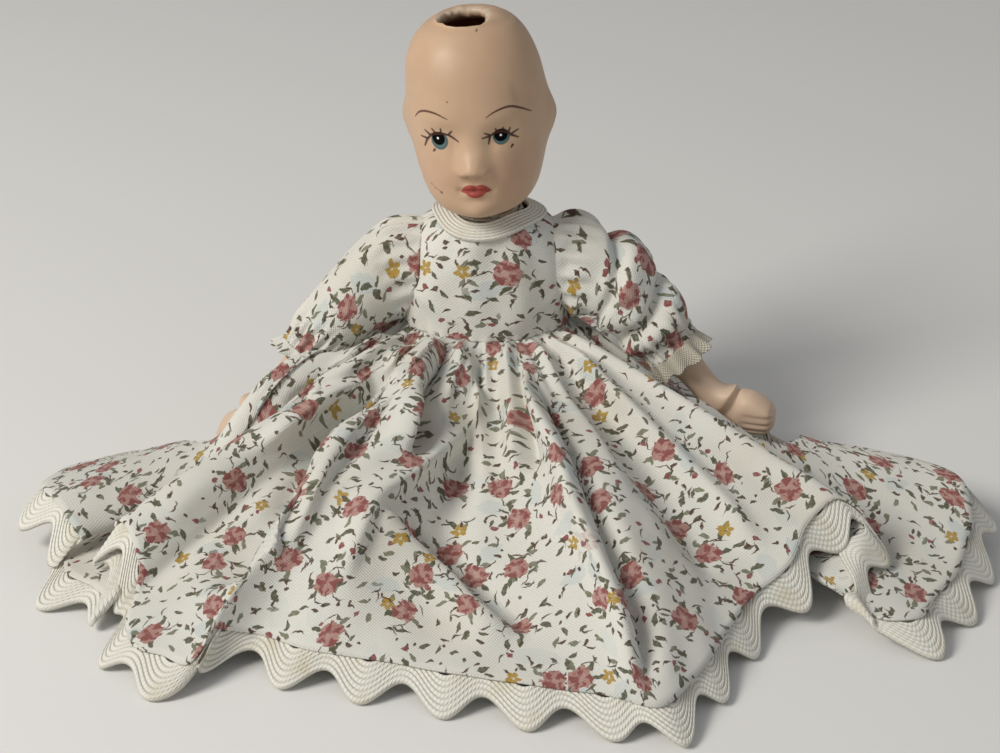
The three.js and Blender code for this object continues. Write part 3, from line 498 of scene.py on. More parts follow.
@dataclass(frozen=True)
class FloralPrint:
    """Plain-woven cotton printed with small roses, buds and sprigs."""

    ground: Colour = (0.76, 0.755, 0.71, 1)
    aged: Colour = (0.68, 0.655, 0.58, 1)
    rose: Colour = (0.27, 0.088, 0.083, 1)
    rose_light: Colour = (0.45, 0.25, 0.22, 1)
    rose_pale: Colour = (0.60, 0.42, 0.37, 1)
    leaf: Colour = (0.115, 0.115, 0.072, 1)
    leaf_light: Colour = (0.21, 0.215, 0.15, 1)
    twig: Colour = (0.10, 0.062, 0.045, 1)
    yellow: Colour = (0.45, 0.29, 0.06, 1)
    wash: Colour = (0.50, 0.60, 0.62, 1)
    thread: float = 0.31
    weave_shade_tints: tuple[Colour, Colour] = ((0.93, 0.928, 0.92, 1), (1.01, 1.01, 1.0, 1))
    shake: float = 1.1
    petals: int = 5
    relief: float = 0.035

    def make(self) -> Finish:
        """Builds the material on the cloth's own flat pattern, in millimetres.

        Returns:
            The material.
        """
        graph = Graph("floral_print")
        place = graph.place("UV")
        colour = graph.mix(graph.fade(graph.noise(place, 0.035, 3), 0.45, 0.8), self.ground, self.aged)
        wobble = graph.add("TexNoise", {"Vector": place, "Scale": 0.9, "Detail": 1.0}).outputs["Color"]
        centred = graph.vector("SUBTRACT", wobble, (0.5, 0.5, 0.5))
        drawn = graph.vector("ADD", place, graph.vector("MULTIPLY", centred, (self.shake, self.shake, 0)))
        ink = graph.math("MULTIPLY_ADD", graph.noise(place, 1.6, 2), 0.55, 0.68)
        for paint, share in self.layers(graph, drawn):
            colour = graph.mix(graph.times(share, ink), colour, paint)
        weave = self.weave(graph, place)
        # painted shade: the cloth is a little darker in the low points of the weave
        threads = graph.mix(graph.fade(weave, -0.9, 0.6), *self.weave_shade_tints)
        tinted = graph.mix(1.0, colour, threads, "MULTIPLY")
        slub = graph.math("ADD", weave, graph.noise(place, 0.8, 2))
        graph.shade({"Base Color": tinted, "Normal": graph.bump(slub, self.relief)})
        graph.shade({"Roughness": 0.86, "Specular IOR Level": 0.2})
        graph.shade({"Sheen Weight": 0.12, "Sheen Roughness": 0.5})
        return graph.material

    def weave(self, graph: Graph, place: Socket) -> Socket:
        """Height of the plain weave, between -1 and 1."""
        across, along, _ = graph.parts(place)
        warp = graph.math("SINE", graph.times(across, TURN / self.thread / 2))
        weft = graph.math("SINE", graph.times(along, TURN / self.thread / 2))
        return graph.times(warp, weft)

    def layers(self, graph: Graph, place: Socket) -> Layers:
        """Draws soft leaves, then sprigs, then buds and roses with their own leaves and stems.

        Args:
            graph: Nodes of the material.
            place: Place on the cloth.

        Returns:
            Colours and masks, in the order of printing.
        """
        offset, draws = graph.scatter(place, 11, 3.7, 0.8)
        shape = graph.leaf(offset, (0, 0), (3.4, 1.7), 0, 0.05)
        yield self.wash, graph.times(shape, graph.times(draws[1], 0.55))
        sprigs = (
            (self.leaf_light, 4.3, 11.3, (1.2, 0.48), 0.05, 0.5),
            (self.leaf, 4.0, 29.1, (1.1, 0.42), 0.16, 0.5),
            (self.twig, 4.2, 47.9, (1.5, 0.24), 0.3, 0.5),
            (self.twig, 4.4, 71.7, (0.9, 0.36), -0.2, 0.5),
            (self.leaf, 5.4, 93.3, (1.4, 0.55), -0.1, 0.5),
            (self.twig, 4.6, 103.7, (0.42, 0.36), 0.0, 0.5),
            (self.rose, 7.4, 113.9, (0.75, 0.52), 0.0, 0.55),
        )
        for paint, cell, shift, size, bend, kept in sprigs:
            offset, draws = graph.scatter(place, cell, shift, 0.9)
            shape = graph.leaf(offset, (0, 0), size, 0, bend)
            yield paint, graph.times(shape, graph.fade(draws[1], 1 - kept, 1.02 - kept))
        offset, draws = graph.scatter(place, 12.5, 131.3, 0.75)
        kept = graph.fade(draws[1], 0.55, 0.57)
        for angle in turns(self.petals).tolist():
            middle = (0.85 * math.cos(angle), 0.85 * math.sin(angle))
            yield self.yellow, graph.times(graph.leaf(offset, middle, (0.75, 0.52), -angle, 0), kept)
        yield self.twig, graph.times(graph.leaf(offset, (2.4, 0.6), (1.6, 0.2), 0.5, 0.25), kept)
        offset, draws = graph.scatter(place, 11.6, 0, 0.66)
        kept = graph.fade(draws[2], 0.12, 0.14)
        leaves = (
            (self.leaf, (2.9, 0.9), (1.3, 0.52), -0.5, 0.08),
            (self.leaf_light, (-2.2, 2.2), (1.3, 0.52), 0.9, 0.12),
            (self.leaf, (-1.2, -2.8), (1.25, 0.48), 1.9, -0.12),
            (self.twig, (3.2, -1.9), (2.0, 0.2), 0.3, 0.2),
            (self.twig, (4.3, -2.6), (0.7, 0.3), 1.4, 0.1),
            (self.twig, (0.6, 3.3), (1.9, 0.2), -0.4, -0.22),
            (self.leaf, (1.4, 4.1), (0.75, 0.34), 0.8, 0.1),
            (self.twig, (-3.4, -0.4), (1.4, 0.2), 1.2, 0.2),
        )
        for paint, *plan in leaves:
            yield paint, graph.times(graph.leaf(offset, *plan), kept)
        ragged = graph.math("MULTIPLY_ADD", graph.noise(place, 0.75, 2), 2.2, -1.1)
        reach = graph.math("ADD", graph.vector("LENGTH", offset), ragged)
        bloom = graph.times(graph.fade(reach, 2.4, 2.15), kept)
        yield self.rose_light, bloom
        petals = graph.fade(graph.noise(graph.vector("ADD", offset, (7, 7, 0)), 0.85, 1), 0.46, 0.56)
        yield self.rose, graph.times(bloom, petals)
        heart = graph.times(graph.fade(reach, 1.3, 0.2), graph.times(draws[1], 0.7))
        yield self.rose_pale, graph.times(heart, kept)


@dataclass(frozen=True)
class BraidCotton:
    """Mercerised rick-rack of twisted cords that lie side by side."""

    cord: Colour = (0.82, 0.81, 0.745, 1)
    # colour of the painted shade in the grooves between the cords
    groove: Colour = (0.70, 0.685, 0.61, 1)
    soiled: Colour = (0.70, 0.66, 0.54, 1)
    twist: float = 0.62
    relief: float = 0.07

    def make(self) -> Finish:
        """Builds the material on millimetres along the braid and cords across it.

        Returns:
            The material.
        """
        graph = Graph("rickrack_cotton")
        along, across, _ = graph.parts(graph.place("UV"))
        within = graph.math("FRACT", across)
        lean = graph.math("MULTIPLY_ADD", within, 0.7, graph.math("DIVIDE", along, self.twist))
        strand = graph.math("ABSOLUTE", graph.math("SINE", graph.times(lean, math.pi)))
        edge = graph.fade(graph.math("ABSOLUTE", graph.math("SUBTRACT", within, 0.5)), 0.5, 0.22)
        worn = graph.noise(graph.place(), 180, 3)
        # painted shade: the braid darkens towards the grooves between its cords and between the twists of
        # each strand
        lit = graph.times(edge, graph.fade(strand, 0.0, 0.55))
        colour = graph.mix(lit, self.groove, self.cord)
        colour = graph.mix(graph.fade(worn, 0.5, 0.75), colour, self.soiled)
        height = graph.math("ADD", strand, graph.times(edge, 1.2))
        graph.shade({"Base Color": colour, "Normal": graph.bump(height, self.relief)})
        graph.shade({"Roughness": 0.62, "Specular IOR Level": 0.35})
        graph.shade({"Sheen Weight": 0.15, "Sheen Roughness": 0.4})
        return graph.material


@dataclass(frozen=True)
class PlainCloth:
    """Unprinted woven cloth, its threads laid on Object coordinates or on its own pattern."""

    name: str
    colour: Colour
    # colour of the painted shade in the low points of the weave, also used for the soiling
    shade: Colour
    thread: float
    depth: float = 0.08
    on_pattern: bool = False

    def make(self) -> Finish:
        """Builds the material from crossing threads and soft soiling.

        Returns:
            The material.
        """
        graph = Graph(self.name)
        place = graph.place()
        soil = graph.fade(graph.noise(place, 90, 4), 0.4, 0.75)
        x, y, z = graph.parts(place)
        first, second, rate = z, graph.math("ADD", x, y), math.pi / (self.thread * MM)
        if self.on_pattern:
            first, second, _ = graph.parts(graph.place("UV"))
            rate = math.pi / self.thread
        level = graph.math("SINE", graph.times(first, rate))
        round_way = graph.math("SINE", graph.times(second, rate))
        weave = graph.times(level, round_way)
        # painted shade: the second colour darkens the low points of the weave; the next line uses it for
        # real soiling
        colour = graph.mix(graph.fade(weave, -0.8, 0.7), self.shade, self.colour)
        colour = graph.mix(graph.times(soil, 0.5), colour, self.shade)
        graph.shade({"Base Color": colour, "Normal": graph.bump(weave, self.depth)})
        graph.shade({"Roughness": 0.9, "Specular IOR Level": 0.15, "Sheen Weight": 0.1})
        return graph.material


@dataclass(frozen=True)
class SnapMetal:
    """Dulled nickel of a snap fastener."""

    bright: Colour = (0.55, 0.54, 0.51, 1)
    dull: Colour = (0.30, 0.28, 0.25, 1)

    def make(self) -> Finish:
        """Builds the material with cloudy tarnish.

        Returns:
            The material.
        """
        graph = Graph("snap_nickel")
        tarnish = graph.noise(graph.place(), 900, 4)
        colour = graph.mix(graph.fade(tarnish, 0.4, 0.7), self.bright, self.dull)
        rough = graph.math("MULTIPLY_ADD", tarnish, 0.3, 0.2)
        graph.shade({"Base Color": colour, "Roughness": rough, "Metallic": 1.0})
        return graph.material


@dataclass(frozen=True)
class Bisque:
    """Unglazed flesh-toned porcelain."""

    flesh: Colour = (0.585, 0.40, 0.265, 1)
    flesh_low: Colour = (0.545, 0.365, 0.24, 1)
    dirt: Colour = (0.13, 0.075, 0.045, 1)
    depth: Place = (0.0015, 0.0008, 0.0005)
    see_through: float = 0.08
    relief: float = 0.012

    def ground(self, graph: Graph) -> Socket:
        """Colours the bare bisque with its faint clouding and specks.

        Args:
            graph: Nodes of the material.

        Returns:
            Colour of the surface.
        """
        place = graph.place()
        cloud = graph.fade(graph.noise(place, 120, 3), 0.35, 0.7)
        colour = graph.mix(cloud, self.flesh, self.flesh_low)
        specks = graph.add("TexVoronoi", {"Vector": place, "Scale": 210, "Randomness": 1.0})
        size = graph.add("SeparateColor", {"Color": specks.outputs["Color"]}).outputs
        small = graph.fade(specks.outputs["Distance"], 0.055, 0.035)
        kept = graph.fade(size[1], 0.965, 0.975)
        return graph.mix(graph.times(small, kept), colour, self.dirt)

    def grain(self, graph: Graph) -> Socket:
        """Normal of the fine stone-like grain."""
        return graph.bump(graph.noise(graph.place(), 2600, 2), self.relief)

    def soften(self, graph: Graph) -> None:
        """Lets a little light into the surface."""
        graph.shade({"Subsurface Weight": self.see_through, "Subsurface Radius": self.depth})

    def make(self) -> Finish:
        """Builds the material of the limbs.

        Returns:
            The material.
        """
        graph = Graph("bisque_limb")
        graph.shade({"Base Color": self.ground(graph), "Normal": self.grain(graph)})
        graph.shade({"Roughness": 0.5, "Specular IOR Level": 0.4})
        self.soften(graph)
        return graph.material


@dataclass
class Brush:
    """Masks of painted spots and strokes, on millimetres across and up the face."""

    graph: Graph
    flat: Socket

    def disc(self, middle: Spot, radius: float, soft: float) -> Socket:
        """Mask of a round spot with a soft edge."""
        reach = self.graph.vector("DISTANCE", self.flat, (*middle, 0))
        return self.graph.fade(reach, radius + soft / 2, radius - soft / 2)

    def stroke(self, start: Spot, end: Spot, wide: float, narrow: float, soft: float = 0.08) -> Socket:
        """Draws a straight brush stroke that tapers.

        Args:
            start: Where the brush is set down.
            end: Where it is lifted.
            wide: Half width at the start.
            narrow: Half width at the end.
            soft: Softness of the edge.

        Returns:
            Mask of the stroke.
        """
        graph = self.graph
        way = (end[0] - start[0], end[1] - start[1], 0)
        length = way[0] ** 2 + way[1] ** 2
        offset = graph.vector("SUBTRACT", self.flat, (*start, 0))
        dot = graph.vector("DOT_PRODUCT", offset, tuple(part / length for part in way))
        share = graph.add("Clamp", {"Value": dot}).outputs[0]
        nearest = graph.add("VectorMath", {"Vector": way, "Scale": share}, operation="SCALE").outputs[0]
        width = graph.math("MULTIPLY_ADD", share, narrow - wide, wide)
        reach = graph.vector("DISTANCE", offset, nearest)
        return graph.fade(graph.math("SUBTRACT", width, reach), -soft, soft)

    def strokes(self, line: Sequence[Spot], widths: Spot) -> list[Socket]:
        """Draws a bent brush stroke, widest in its middle.

        Args:
            line: Spots that the brush passes.
            widths: Half widths at the ends and in the middle.

        Returns:
            Masks of its short straight stretches.
        """
        count = 2 * len(line)
        spots = [tuple(spot) for spot in through(np.array(line), count + 1, measured=2).tolist()]
        swell = [mixed(*widths, math.sin(math.pi * step / count)) for step in range(count + 1)]
        return [self.stroke(*spots[i : i + 2], *swell[i : i + 2]) for i in range(count)]


@dataclass(frozen=True)
class FacePaint:
    """The painted face, on millimetres across and up the front of the head."""

    skin: Bisque
    iris: Colour = (0.085, 0.15, 0.155, 1)
    iris_rim: Colour = (0.035, 0.085, 0.09, 1)
    pupil: Colour = (0.004, 0.004, 0.004, 1)
    line: Colour = (0.055, 0.026, 0.019, 1)
    brow: Colour = (0.12, 0.05, 0.032, 1)
    lip: Colour = (0.36, 0.06, 0.045, 1)
    lip_line: Colour = (0.24, 0.028, 0.024, 1)
    blush: Colour = (0.58, 0.30, 0.22, 1)
    raw_edge: Colour = (0.62, 0.48, 0.36, 1)
    # inside of the shell: a darker, redder colour, partly the bisque's own and partly painted shade
    hollow: Colour = (0.36, 0.15, 0.10, 1)
    catchlight: Colour = (0.9, 0.9, 0.88, 1)
    smudge: Colour = (0.27, 0.16, 0.11, 1)
    cheek: Place = (7.2, 0.3, 15.2)
    blush_size: Spot = (4.2, 5.5)
    smudge_line: tuple[Spot, Spot] = ((8.3, 29.0), (7.6, 32.0))
    scratch_line: tuple[Spot, Spot] = ((-6.4, 11.95), (-8.5, 13.1))
    front: Spot = (-3.0, -5.0)
    eyes: tuple[tuple[Spot, float, Spot, float, Spot], ...] = (
        ((-5.83, 22.15), 1.62, (-6.0, 22.55), 1.22, (-6.15, 22.55)),
        ((5.49, 22.7), 1.5, (5.42, 23.0), 1.2, (5.41, 22.95)),
    )
    lids: tuple[tuple[Spot, ...], ...] = (
        ((-8.3, 21.9), (-7.4, 23.0), (-5.9, 23.5), (-4.4, 23.4), (-3.6, 23.1)),
        ((3.45, 22.9), (4.3, 23.5), (5.54, 23.7), (6.5, 23.3), (7.25, 22.7)),
    )
    brows: tuple[tuple[Spot, ...], ...] = (
        ((-10.5, 25.7), (-9.5, 27.0), (-8.2, 27.6), (-6.0, 27.55), (-3.9, 26.75)),
        ((3.15, 26.9), (4.3, 27.6), (5.9, 28.15), (7.5, 28.2), (9.2, 27.3), (10.75, 26.0)),
    )
    lashes: tuple[tuple[Spot, Spot], ...] = (
        ((-8.3, 22.2), (-9.5, 22.3)), ((-8.25, 22.1), (-8.9, 20.6)), ((-7.65, 23.0), (-8.6, 23.7)),
        ((-6.6, 23.5), (-7.2, 24.3)), ((-5.45, 23.65), (-5.45, 24.55)), ((-4.05, 23.4), (-3.35, 24.25)),
        ((-3.65, 23.15), (-2.25, 22.2)), ((3.35, 23.0), (2.2, 22.9)), ((3.5, 22.9), (3.2, 21.6)),
        ((3.6, 23.2), (2.65, 23.8)), ((4.75, 23.7), (4.6, 24.4)), ((5.85, 23.75), (5.9, 24.4)),
        ((6.75, 23.25), (7.1, 24.1)), ((7.15, 22.8), (8.4, 23.4)), ((7.15, 22.7), (8.35, 21.95)),
        ((-6.9, 20.35), (-7.15, 20.0)), ((7.35, 20.75), (7.1, 20.4)),
    )
    marks: tuple[tuple[Spot, float], ...] = (
        ((-6.3, 11.9), 0.3), ((-8.3, 12.9), 0.16), ((-7.6, 12.3), 0.12),
        ((-3.7, 29.9), 0.18), ((1.7, 41.1), 0.2), ((6.3, 41.3), 0.16),
    )
    lips: tuple[tuple[Spot, Spot, float, float], ...] = (
        ((-0.85, 13.4), (1.75, 0.85), -0.32, -0.08), ((1.6, 13.4), (1.75, 0.85), 0.3, -0.08),
        ((0.35, 12.75), (2.75, 0.6), 0.0, 0.02), ((0.35, 12.45), (2.1, 0.95), 0.0, 0.06),
    )
    parting: tuple[Spot, ...] = ((-2.45, 12.85), (-0.8, 13.15), (0.35, 12.95), (1.6, 13.1), (3.15, 12.75))

    def make(self) -> Finish:
        """Builds the head's material from the bare bisque up to the last brush stroke.

        Returns:
            The material.
        """
        graph = Graph("bisque_face")
        seat = {"Location": (0, 0, NECK_SEAT * MM), "Rotation": (0, HEAD_ROLL, HEAD_YAW)}
        inputs = {"Vector": graph.place(), "Scale": (MM, MM, MM), **seat}
        local = graph.add("Mapping", inputs, vector_type="TEXTURE").outputs[0]
        across, deep, up = graph.parts(local)
        front = graph.fade(deep, *self.front)
        brush = Brush(graph, graph.add("CombineXYZ", {"X": across, "Y": up}).outputs[0])
        colour = self.skin.ground(graph)
        for paint, mask in self.layers(brush):
            colour = graph.mix(graph.times(mask, front), colour, paint)
        row = graph.parts(graph.place("UV"))[1]
        broken = graph.math("ADD", row, graph.times(graph.noise(local, 0.9, 3), 0.008))
        chipped = graph.times(graph.fade(broken, 1.0, 1.004), graph.fade(row, 1.04, 1.02))
        colour = graph.mix(chipped, colour, self.raw_edge)
        # inside of the shell: a darker, redder colour, partly the bisque's own and partly painted shade
        colour = graph.mix(graph.fade(row, 1.05, 1.14), colour, self.hollow)
        graph.shade({"Base Color": colour, "Normal": self.skin.grain(graph)})
        gloss = graph.math("MULTIPLY_ADD", graph.noise(local, 0.25, 2), 0.2, 0.36)
        dark = [brush.disc(pupil, radius + 0.1, 0.2) for _, _, pupil, radius, _ in self.eyes]
        pupils = graph.times(graph.math("ADD", *dark), front)
        sheen = graph.math("MULTIPLY_ADD", pupils, -0.4, 0.42)
        graph.shade({"Roughness": gloss, "Specular IOR Level": sheen})
        self.skin.soften(graph)
        return graph.material

    def layers(self, brush: Brush) -> Layers:
        """Paints the face.

        Args:
            brush: Brush on the face.

        Returns:
            Colours and masks, in the order of painting.
        """
        times = brush.graph.times
        out, middle, height = self.cheek
        for side in (-1, 1):
            yield self.blush, times(brush.disc((side * out + middle, height), *self.blush_size), 0.22)
        yield self.smudge, times(brush.stroke(*self.smudge_line, 0.3, 0.1, 0.9), 0.34)
        yield self.skin.dirt, times(brush.stroke(*self.scratch_line, 0.16, 0.05, 0.14), 0.5)
        for plan in self.lips:
            yield self.lip, brush.graph.leaf(brush.flat, *plan)
        for mask in brush.strokes(self.parting, (0.07, 0.12)):
            yield self.lip_line, times(mask, 0.4)
        for (middle, radius, pupil, pupil_radius, spark), lid in zip(self.eyes, self.lids):
            yield self.iris_rim, brush.disc(middle, radius, 0.25)
            yield self.iris, brush.disc(middle, radius - 0.22, 0.3)
            yield self.pupil, brush.disc(pupil, pupil_radius, 0.2)
            for mask in brush.strokes(lid, (0.15, 0.28)):
                yield self.line, mask
            yield self.catchlight, brush.disc(spark, 0.2, 0.16)
        for brow in self.brows:
            for mask in brush.strokes(brow, (0.08, 0.21)):
                yield self.brow, mask
        for start, end in self.lashes:
            yield self.line, brush.stroke(start, end, 0.24, 0.14, 0.14)
        for middle, radius in self.marks:
            yield self.skin.dirt, times(brush.disc(middle, radius, 0.25), 0.8)


@dataclass
class PhotoView:
    """The camera's place and what it sees."""

    elevation: float = 27 * DEG
    distance: float = 390.0
    target: Place = (0.0, -11.0, 27.0)
    focal: float = 2052.6
    target_pixel: Spot = (487.0, 340.0)
    frame_size: tuple[int, int] = (1000, 753)
    sensor: float = 36.0

    def axes(self) -> tuple[Array, Array, Array]:
        """Ways to the right, up and forward in the view."""
        rise, level = math.sin(self.elevation), math.cos(self.elevation)
        return np.array([1.0, 0, 0]), np.array([0, rise, level]), np.array([0, level, -rise])

    def eye(self) -> Array:
        """Place of the camera."""
        return np.array(self.target) - self.distance * self.axes()[2]

    def pixels(self, points: Array) -> Array:
        """Finds the pixels at which points are seen.

        Args:
            points: Places in millimetres.

        Returns:
            Pixels across and down.
        """
        right, up, forward = self.axes()
        offset = points - self.eye()
        depth = offset @ forward
        x = self.target_pixel[0] + self.focal * (offset @ right) / depth
        y = self.target_pixel[1] - self.focal * (offset @ up) / depth
        return np.stack([x, y], axis=-1)

    def set_camera(self) -> None:
        """Adds the camera."""
        width, height = self.frame_size
        camera = bpy.data.cameras.new("camera")
        camera.sensor_width = self.sensor
        camera.lens = self.focal * self.sensor / width
        camera.shift_x = (width / 2 - self.target_pixel[0]) / width
        camera.shift_y = (self.target_pixel[1] - height / 2) / width
        holder = bpy.data.objects.new("camera", camera)
        bpy.context.scene.collection.objects.link(holder)
        holder.location = self.eye() * MM
        holder.rotation_euler = (math.pi / 2 - self.elevation, 0, 0)
        bpy.context.scene.camera = holder


@dataclass
class Lamp:
    """A square soft light that faces the doll, in metres."""

    name: str
    place: Place
    power: float
    size: float
    colour: Place
    aim: Place = (0, -0.01, 0.04)

    def build(self) -> None:
        """Adds the light."""
        light = bpy.data.lights.new(self.name, "AREA")
        light.energy = self.power
        light.size = self.size
        light.color = self.colour
        holder = bpy.data.objects.new(self.name, light)
        bpy.context.scene.collection.objects.link(holder)
        holder.location = self.place
        x, y, z = np.array(self.aim) - np.array(self.place)
        holder.rotation_euler = (math.atan2(math.hypot(x, y), -z), 0, math.atan2(y, x) - math.pi / 2)


@dataclass
class Studio:
    """Plain pale floor and soft light from the upper left."""

    floor_size: float = 3.0
    floor_gap: float = 0.0001
    paper: tuple[Colour, Colour] = ((0.87, 0.87, 0.86, 1), (0.84, 0.84, 0.83, 1))
    sky: float = 0.275
    lamps: tuple[Lamp, ...] = (
        Lamp("key", (-0.58, -0.34, 0.56), power=5.3, size=0.34, colour=(1.0, 0.96, 0.89)),
        Lamp("fill", (0.55, -0.45, 0.35), power=0.18, size=0.6, colour=(0.92, 0.95, 1.0)),
    )

    def build(self) -> None:
        """Adds the floor, the lights and the sky."""
        bpy.ops.object.select_all(action="DESELECT")
        foot = (0, 0, cad_box[0][2] - self.floor_gap)
        bpy.ops.mesh.primitive_plane_add(size=self.floor_size, location=foot)
        floor = bpy.context.object
        floor.name = "studio_floor"
        bpy.ops.object.transform_apply(location=True, rotation=True, scale=True)
        graph = Graph("floor_paper")
        cloud = graph.noise(graph.place(), 6, 3)
        graph.shade({"Base Color": graph.mix(cloud, *self.paper), "Roughness": 0.9})
        floor.data.materials.append(graph.material)
        for lamp in self.lamps:
            lamp.build()
        world = bpy.context.scene.world or bpy.data.worlds.new("studio")
        bpy.context.scene.world = world
        world.use_nodes = True
        backdrop = world.node_tree.nodes["Background"]
        backdrop.inputs[0].default_value = (1, 1, 1, 1)
        backdrop.inputs[1].default_value = self.sky
        bpy.context.scene.view_settings.view_transform = "Standard"


@dataclass
class TorsoForm:
    """Side of the torso, from which the body and the bodice take their sections."""

    samples: int = 400
    stations: tuple[Place, ...] = (
        (0, 11.5, 9), (2.5, 14, 10.6), (9, 15.2, 11), (18, 15.2, 11), (27, 14.8, 10.4), (37, 15, 10.2),
        (43.5, 13.4, 9.4), (46.6, 11, 8.6), (48.2, 7.6, 7.2), (49.1, 5.95, 5.95), (50.4, 5.95, 5.95),
    )

    def __post_init__(self) -> None:
        """Works out the side and the way out of it."""
        side = through(np.array(self.stations)[:, [1, 2, 0]], self.samples)
        slope = np.gradient(side, axis=0)
        out = np.stack([slope[:, 2], slope[:, 2], -(slope[:, 0] + slope[:, 1]) / 2], axis=1)
        self.side = side
        self.rise = summed(np.hypot(np.diff(side[:, :2].mean(axis=1)), np.diff(side[:, 2])))
        self.out = out / np.hypot(slope[:, 2], out[:, 2])[:, None]

    def section(self, height: Array, offset: Array) -> tuple[Array, Array, Array]:
        """Half width, half depth and height of the torso, moved out by an offset."""
        at = [np.interp(height, self.side[:, 2], channel) for channel in self.side.T]
        way = [np.interp(height, self.side[:, 2], channel) for channel in self.out.T]
        return tuple(place + offset * step for place, step in zip(at, way))

    def around(self, azimuth: Array, height: Array, offset: Array) -> Array:
        """Points round the torso, the azimuth counted from the front towards the doll's left."""
        width, depth, level = self.section(height, offset)
        return joined(width * np.sin(azimuth), -depth * np.cos(azimuth), level)


@dataclass
class Body:
    """Stuffed muslin trunk."""

    form: TorsoForm
    around: int = 96
    rows: int = 70
    span: Spot = (0.02, 50.35)
    lowest: float = 0.05
    inset: float = -0.25
    tie: float = 49.2
    puckers: int = 26
    neck_floor: float = 50.0
    neck_closing: float = 0.12
    cover: float = 0.4

    def build(self, muslin: Finish) -> None:
        """Makes the padded trunk and its side seams.

        Args:
            muslin: Finish of the cloth.
        """
        height = np.linspace(*self.span, self.rows)[:, None]
        azimuth = turns(self.around)[None, :]
        pucker = 0.25 * bell(height - self.tie, 1.2) * np.cos(self.puckers * azimuth)
        seam = -0.35 * (bell(np.sin(azimuth) - 1, 0.004) + bell(np.sin(azimuth) + 1, 0.004))
        lumps = 0.22 * ripple(joined(14 * azimuth, height), 5, 16, 7)
        points = self.form.around(azimuth, height, self.inset + pucker + seam + lumps)
        points[..., 2] = np.maximum(points[..., 2], self.lowest)
        foot = 0 * points[:1] + rising(self.lowest)
        neck = mixed(points[-1:], rising(self.neck_floor), self.neck_closing)
        grid = closed_ring(np.concatenate([foot, points, neck]))
        piece = lay_grid("stuffed_torso", grid, grid[..., :2])
        thicken(piece, self.cover)
        dress(piece, muslin, ("torso_cover", "torso_stuffing"))
        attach(piece, "torso")


